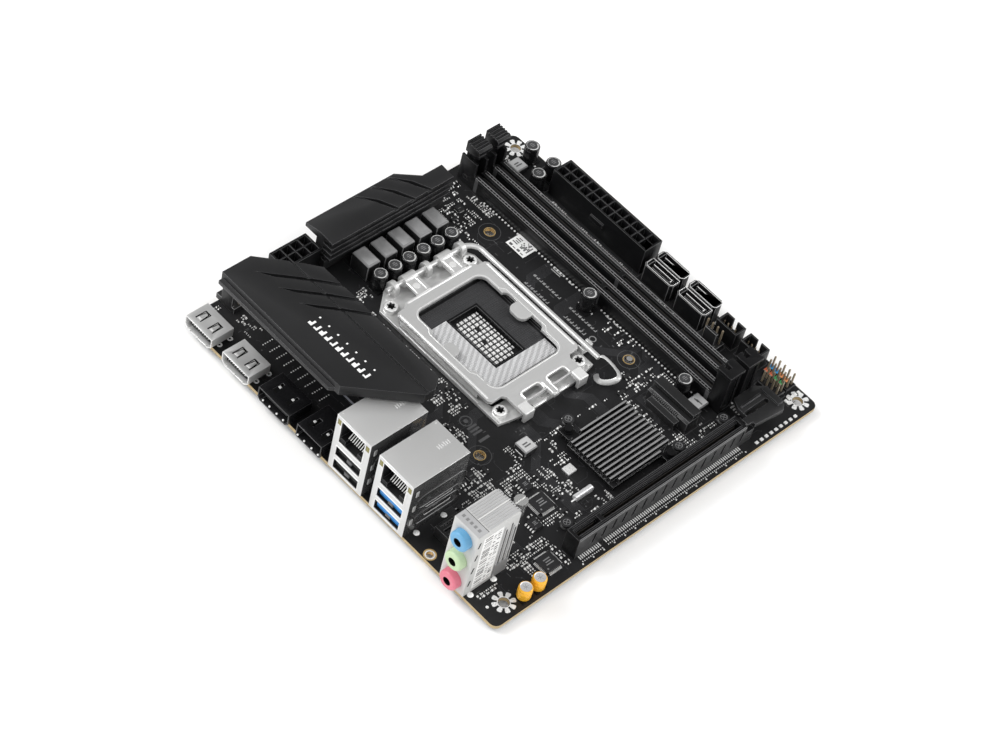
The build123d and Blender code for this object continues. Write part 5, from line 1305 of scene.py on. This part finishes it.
# ------------------------------------------------------------------ sticker, heat sink marks
sticker = Piece()
sticker.box(126.9, 134.6, 119.4, 129.3, 0.0, 0.08, "label", 0.02)
draw = random.Random(8)
for i in range(7):
    for j in range(7):
        if draw.random() < 0.55:
            sticker.box(129.6 + 0.66 * i, 130.2 + 0.66 * i, 120.3 + 0.66 * j, 120.9 + 0.66 * j,
                        0.07, 0.1, "chip_grey", 0.005)
for i in range(4):
    sticker.box(127.6, 128.1 + 0.6 * (i % 2), 120.5 + 2.1 * i, 122.0 + 2.1 * i, 0.07, 0.1,
                "chip_grey", 0.005)
    sticker.box(129.8 + 1.0 * i, 130.3 + 1.0 * i, 125.8, 128.4 - 0.7 * (i % 2), 0.07, 0.1,
                "chip_grey", 0.005)
sticker.done("plain_sticker", "board", "board")

bars = Piece()
bar = (34.99, 35.03, "label", 0.008)
for k in range(11):
    y = 91.6 + 2.95 * k
    bars.box(14.2, 16.9, y, y + 0.85, *bar)
    bars.box(14.2, 14.9 + 0.5 * (k % 3), y + 0.85, y + 1.9, *bar)
for k in range(7):
    bars.box(19.0, 19.7, 92.6 + 4.9 * k - 0.35, 92.6 + 4.9 * k + 0.35, *bar)
bars.done("heat_sink_marks", "board", "anodised")

# ------------------------------------------------------------------ drive port rim highlights
drives = Piece()
# Bright lines along the top rims of the black ports are painted highlights; an L of the same bright
# finish stands inside each.
for y0 in (52.7, 70.4):
    for x0 in (157.9, 164.1):
        x1 = x0 + 5.7
        low, high = y0 + 0.5, y0 + 14.9
        rim = [(x0 + 0.5, low + 1.0), (x0 + 1.5, low), (x1 - 0.5, low), (x1 - 0.5, high),
               (x0 + 1.5, high), (x0 + 0.5, high - 1.0), (x0 + 0.5, low + 1.0)]
        drives.tube([(x, y, 8.78) for x, y in rim], 0.13, "edge_bright", 8)
        key = [(x0 + 2.2, low + 2.2, 8.3), (x0 + 3.4, low + 2.2, 8.3), (x0 + 3.4, high - 2.2, 8.3)]
        drives.tube(key, 0.16, "edge_bright", 8)
drives.done("drive_port_rim_highlights", "board", "black_plastic")

# ------------------------------------------------------------------ hinge
# Each leaf of the load plate has rolled side beads, a rolled end and one low pressed boss.
hinge = Piece()
# The beads, end and boss are drawn in the lighter edge_bright steel, a painted highlight on them.
for low, high in ((76.5, 81.1), (95.4, 99.6)):
    for x in (low, high):
        hinge.tube([(x, 126.2, 5.95), (x, 126.9, 6.1), (x, 131.6, 6.1), (x, 132.3, 6.0)], 0.32,
                   "edge_bright", 10)
    hinge.tube([(low, 133.2, 6.35), (low + 0.5, 133.2, 6.5), (high - 0.5, 133.2, 6.5),
                (high, 133.2, 6.35)], 0.4, "edge_bright", 12)
    hinge.lathe(((low + high) / 2, 129.3, 6.0), [(1.5, 0.0), (1.4, 0.22), (1.0, 0.32), (0.0, 0.34)],
                "edge_bright", 28)
hinge.done("hinge_trim", "load_plate", "steel")

# ------------------------------------------------------------------ solder joints below the board
def joint(x, y, wide=0.62):
    """One through-hole joint on the solder side: a small cone with the lead's end."""
    below.lathe((x, y, -THICK), [(wide, 0.03), (wide * 0.9, -0.1), (wide * 0.45, -0.38),
                                 (wide * 0.34, -0.62), (0.0, -0.66)], "solder", 10)


below = Piece()
for cx in MEMORY_ROWS:
    for k in range(70):
        joint(cx - 1.9 + 1.27 * (k % 2), 30.0 + 1.75 * k, 0.42)
        joint(cx + 0.6 + 1.27 * (k % 2), 30.0 + 1.75 * k, 0.42)
for k in range(82):
    joint(47.0 + 1.0 * k, 6.6 + 1.3 * (k % 2), 0.36)
for i in range(12):
    for x in (161.5, 165.7):
        joint(x, 90.0 + 4.2 * i, 0.95)
for i in range(4):
    for y in (162.6, 166.8):
        joint(41.0 + 4.2 * i, y, 0.95)
for i in range(5):
    for x in (164.68, 167.22):
        joint(x, 22.83 - PIN_PITCH * i)
for i in range(4):
    for x in (158.68, 161.22):
        joint(x, 20.31 - PIN_PITCH * i)
for cy in STACK_ROWS:
    for k in range(8):
        joint(12.5 + 2.3 * (k % 2), cy - 4.4 + 1.25 * k, 0.5)
    for y in (cy - 7.9, cy + 7.9):
        for x in (8.0, 20.0):
            joint(x, y, 1.1)
for cy in (*HDMI_ROWS, 117.8):
    for y in (cy - 7.0, cy + 7.0):
        joint(5.4, y, 0.9)
for x, y in ((2.5, 19.6), (2.5, 26.0), (9.0, 19.6), (9.0, 26.0), (15.5, 22.8)):
    joint(x, y, 0.9)
below.done("solder_side_joints", "board", "tin")


# ------------------------------------------------------------------ floor, light, camera
floor_mesh = bpy.data.meshes.new("floor")
floor_builder = bmesh.new()
bmesh.ops.create_grid(floor_builder, x_segments=1, y_segments=1, size=6.0)
floor_builder.to_mesh(floor_mesh)
floor_builder.free()
floor = bpy.data.objects.new("floor", floor_mesh)
bpy.context.scene.collection.objects.link(floor)
floor.location = (0, 0, cad_low[2] - 0.00002)
finish("floor", (0.97, 0.97, 0.97), 0.75, spread=0.005, mottle=3, grain=300)
floor_mesh.materials.append(mats["floor"])
floor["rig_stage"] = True

world = bpy.data.worlds.new("studio")
bpy.context.scene.world = world
world.use_nodes = True
sky = world.node_tree
sky.nodes["Background"].inputs["Color"].default_value = (1.0, 1.0, 1.0, 1.0)
# An even white room with one dark side, so that flat dark tops keep their depth.
heading = sky.nodes.new("ShaderNodeTexCoord")
toward = sky.nodes.new("ShaderNodeVectorMath")
toward.operation = "DOT_PRODUCT"
toward.inputs[1].default_value = (0.533, 0.373, 0.759)
falloff = sky.nodes.new("ShaderNodeMapRange")
falloff.interpolation_type = "SMOOTHSTEP"
falloff.inputs["From Min"].default_value = 0.55
falloff.inputs["From Max"].default_value = 0.97
falloff.inputs["To Min"].default_value = 1.15
falloff.inputs["To Max"].default_value = 0.25
sky.links.new(heading.outputs["Generated"], toward.inputs[0])
sky.links.new(toward.outputs["Value"], falloff.inputs["Value"])
sky.links.new(falloff.outputs["Result"], sky.nodes["Background"].inputs["Strength"])


def area_light(name, place, size, power):
    """A rectangular lamp aimed at the middle of the board."""
    lamp = bpy.data.lights.new(name, "AREA")
    lamp.shape = "RECTANGLE"
    lamp.size, lamp.size_y = size
    lamp.energy = power
    obj = bpy.data.objects.new(name, lamp)
    bpy.context.scene.collection.objects.link(obj)
    obj.location = place
    obj.rotation_euler = Vector(place).to_track_quat("Z", "Y").to_euler()


area_light("key", (-0.55, 0.75, 0.95), (0.7, 0.5), 9)
area_light("fill", (0.8, -0.6, 0.7), (0.6, 0.6), 4)

azimuth = math.radians(-54.968)
elevation = math.radians(49.424)
roll = math.radians(15.341)
right = Vector((math.cos(azimuth), math.sin(azimuth), 0))
back = Vector((
    math.sin(azimuth) * math.cos(elevation),
    -math.cos(azimuth) * math.cos(elevation),
    math.sin(elevation),
))
up = back.cross(right)
turned_right = right * math.cos(roll) + up * math.sin(roll)
turned_up = up * math.cos(roll) - right * math.sin(roll)
camera = bpy.data.cameras.new("camera")
camera.sensor_width = 36
camera.lens = 101.343
camera.shift_x = 0.003602
camera.shift_y = -0.000692
camera.clip_start = 0.01
camera_object = bpy.data.objects.new("camera", camera)
bpy.context.scene.collection.objects.link(camera_object)
camera_object.matrix_world = Matrix((
    (turned_right.x, turned_up.x, back.x, CORNER.x - 0.478902),
    (turned_right.y, turned_up.y, back.y, CORNER.y - 0.307754),
    (turned_right.z, turned_up.z, back.z, CORNER.z + 0.795023),
    (0, 0, 0, 1),
))
bpy.context.scene.camera = camera_object
bpy.context.scene.view_settings.view_transform = "Standard"

low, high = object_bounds()
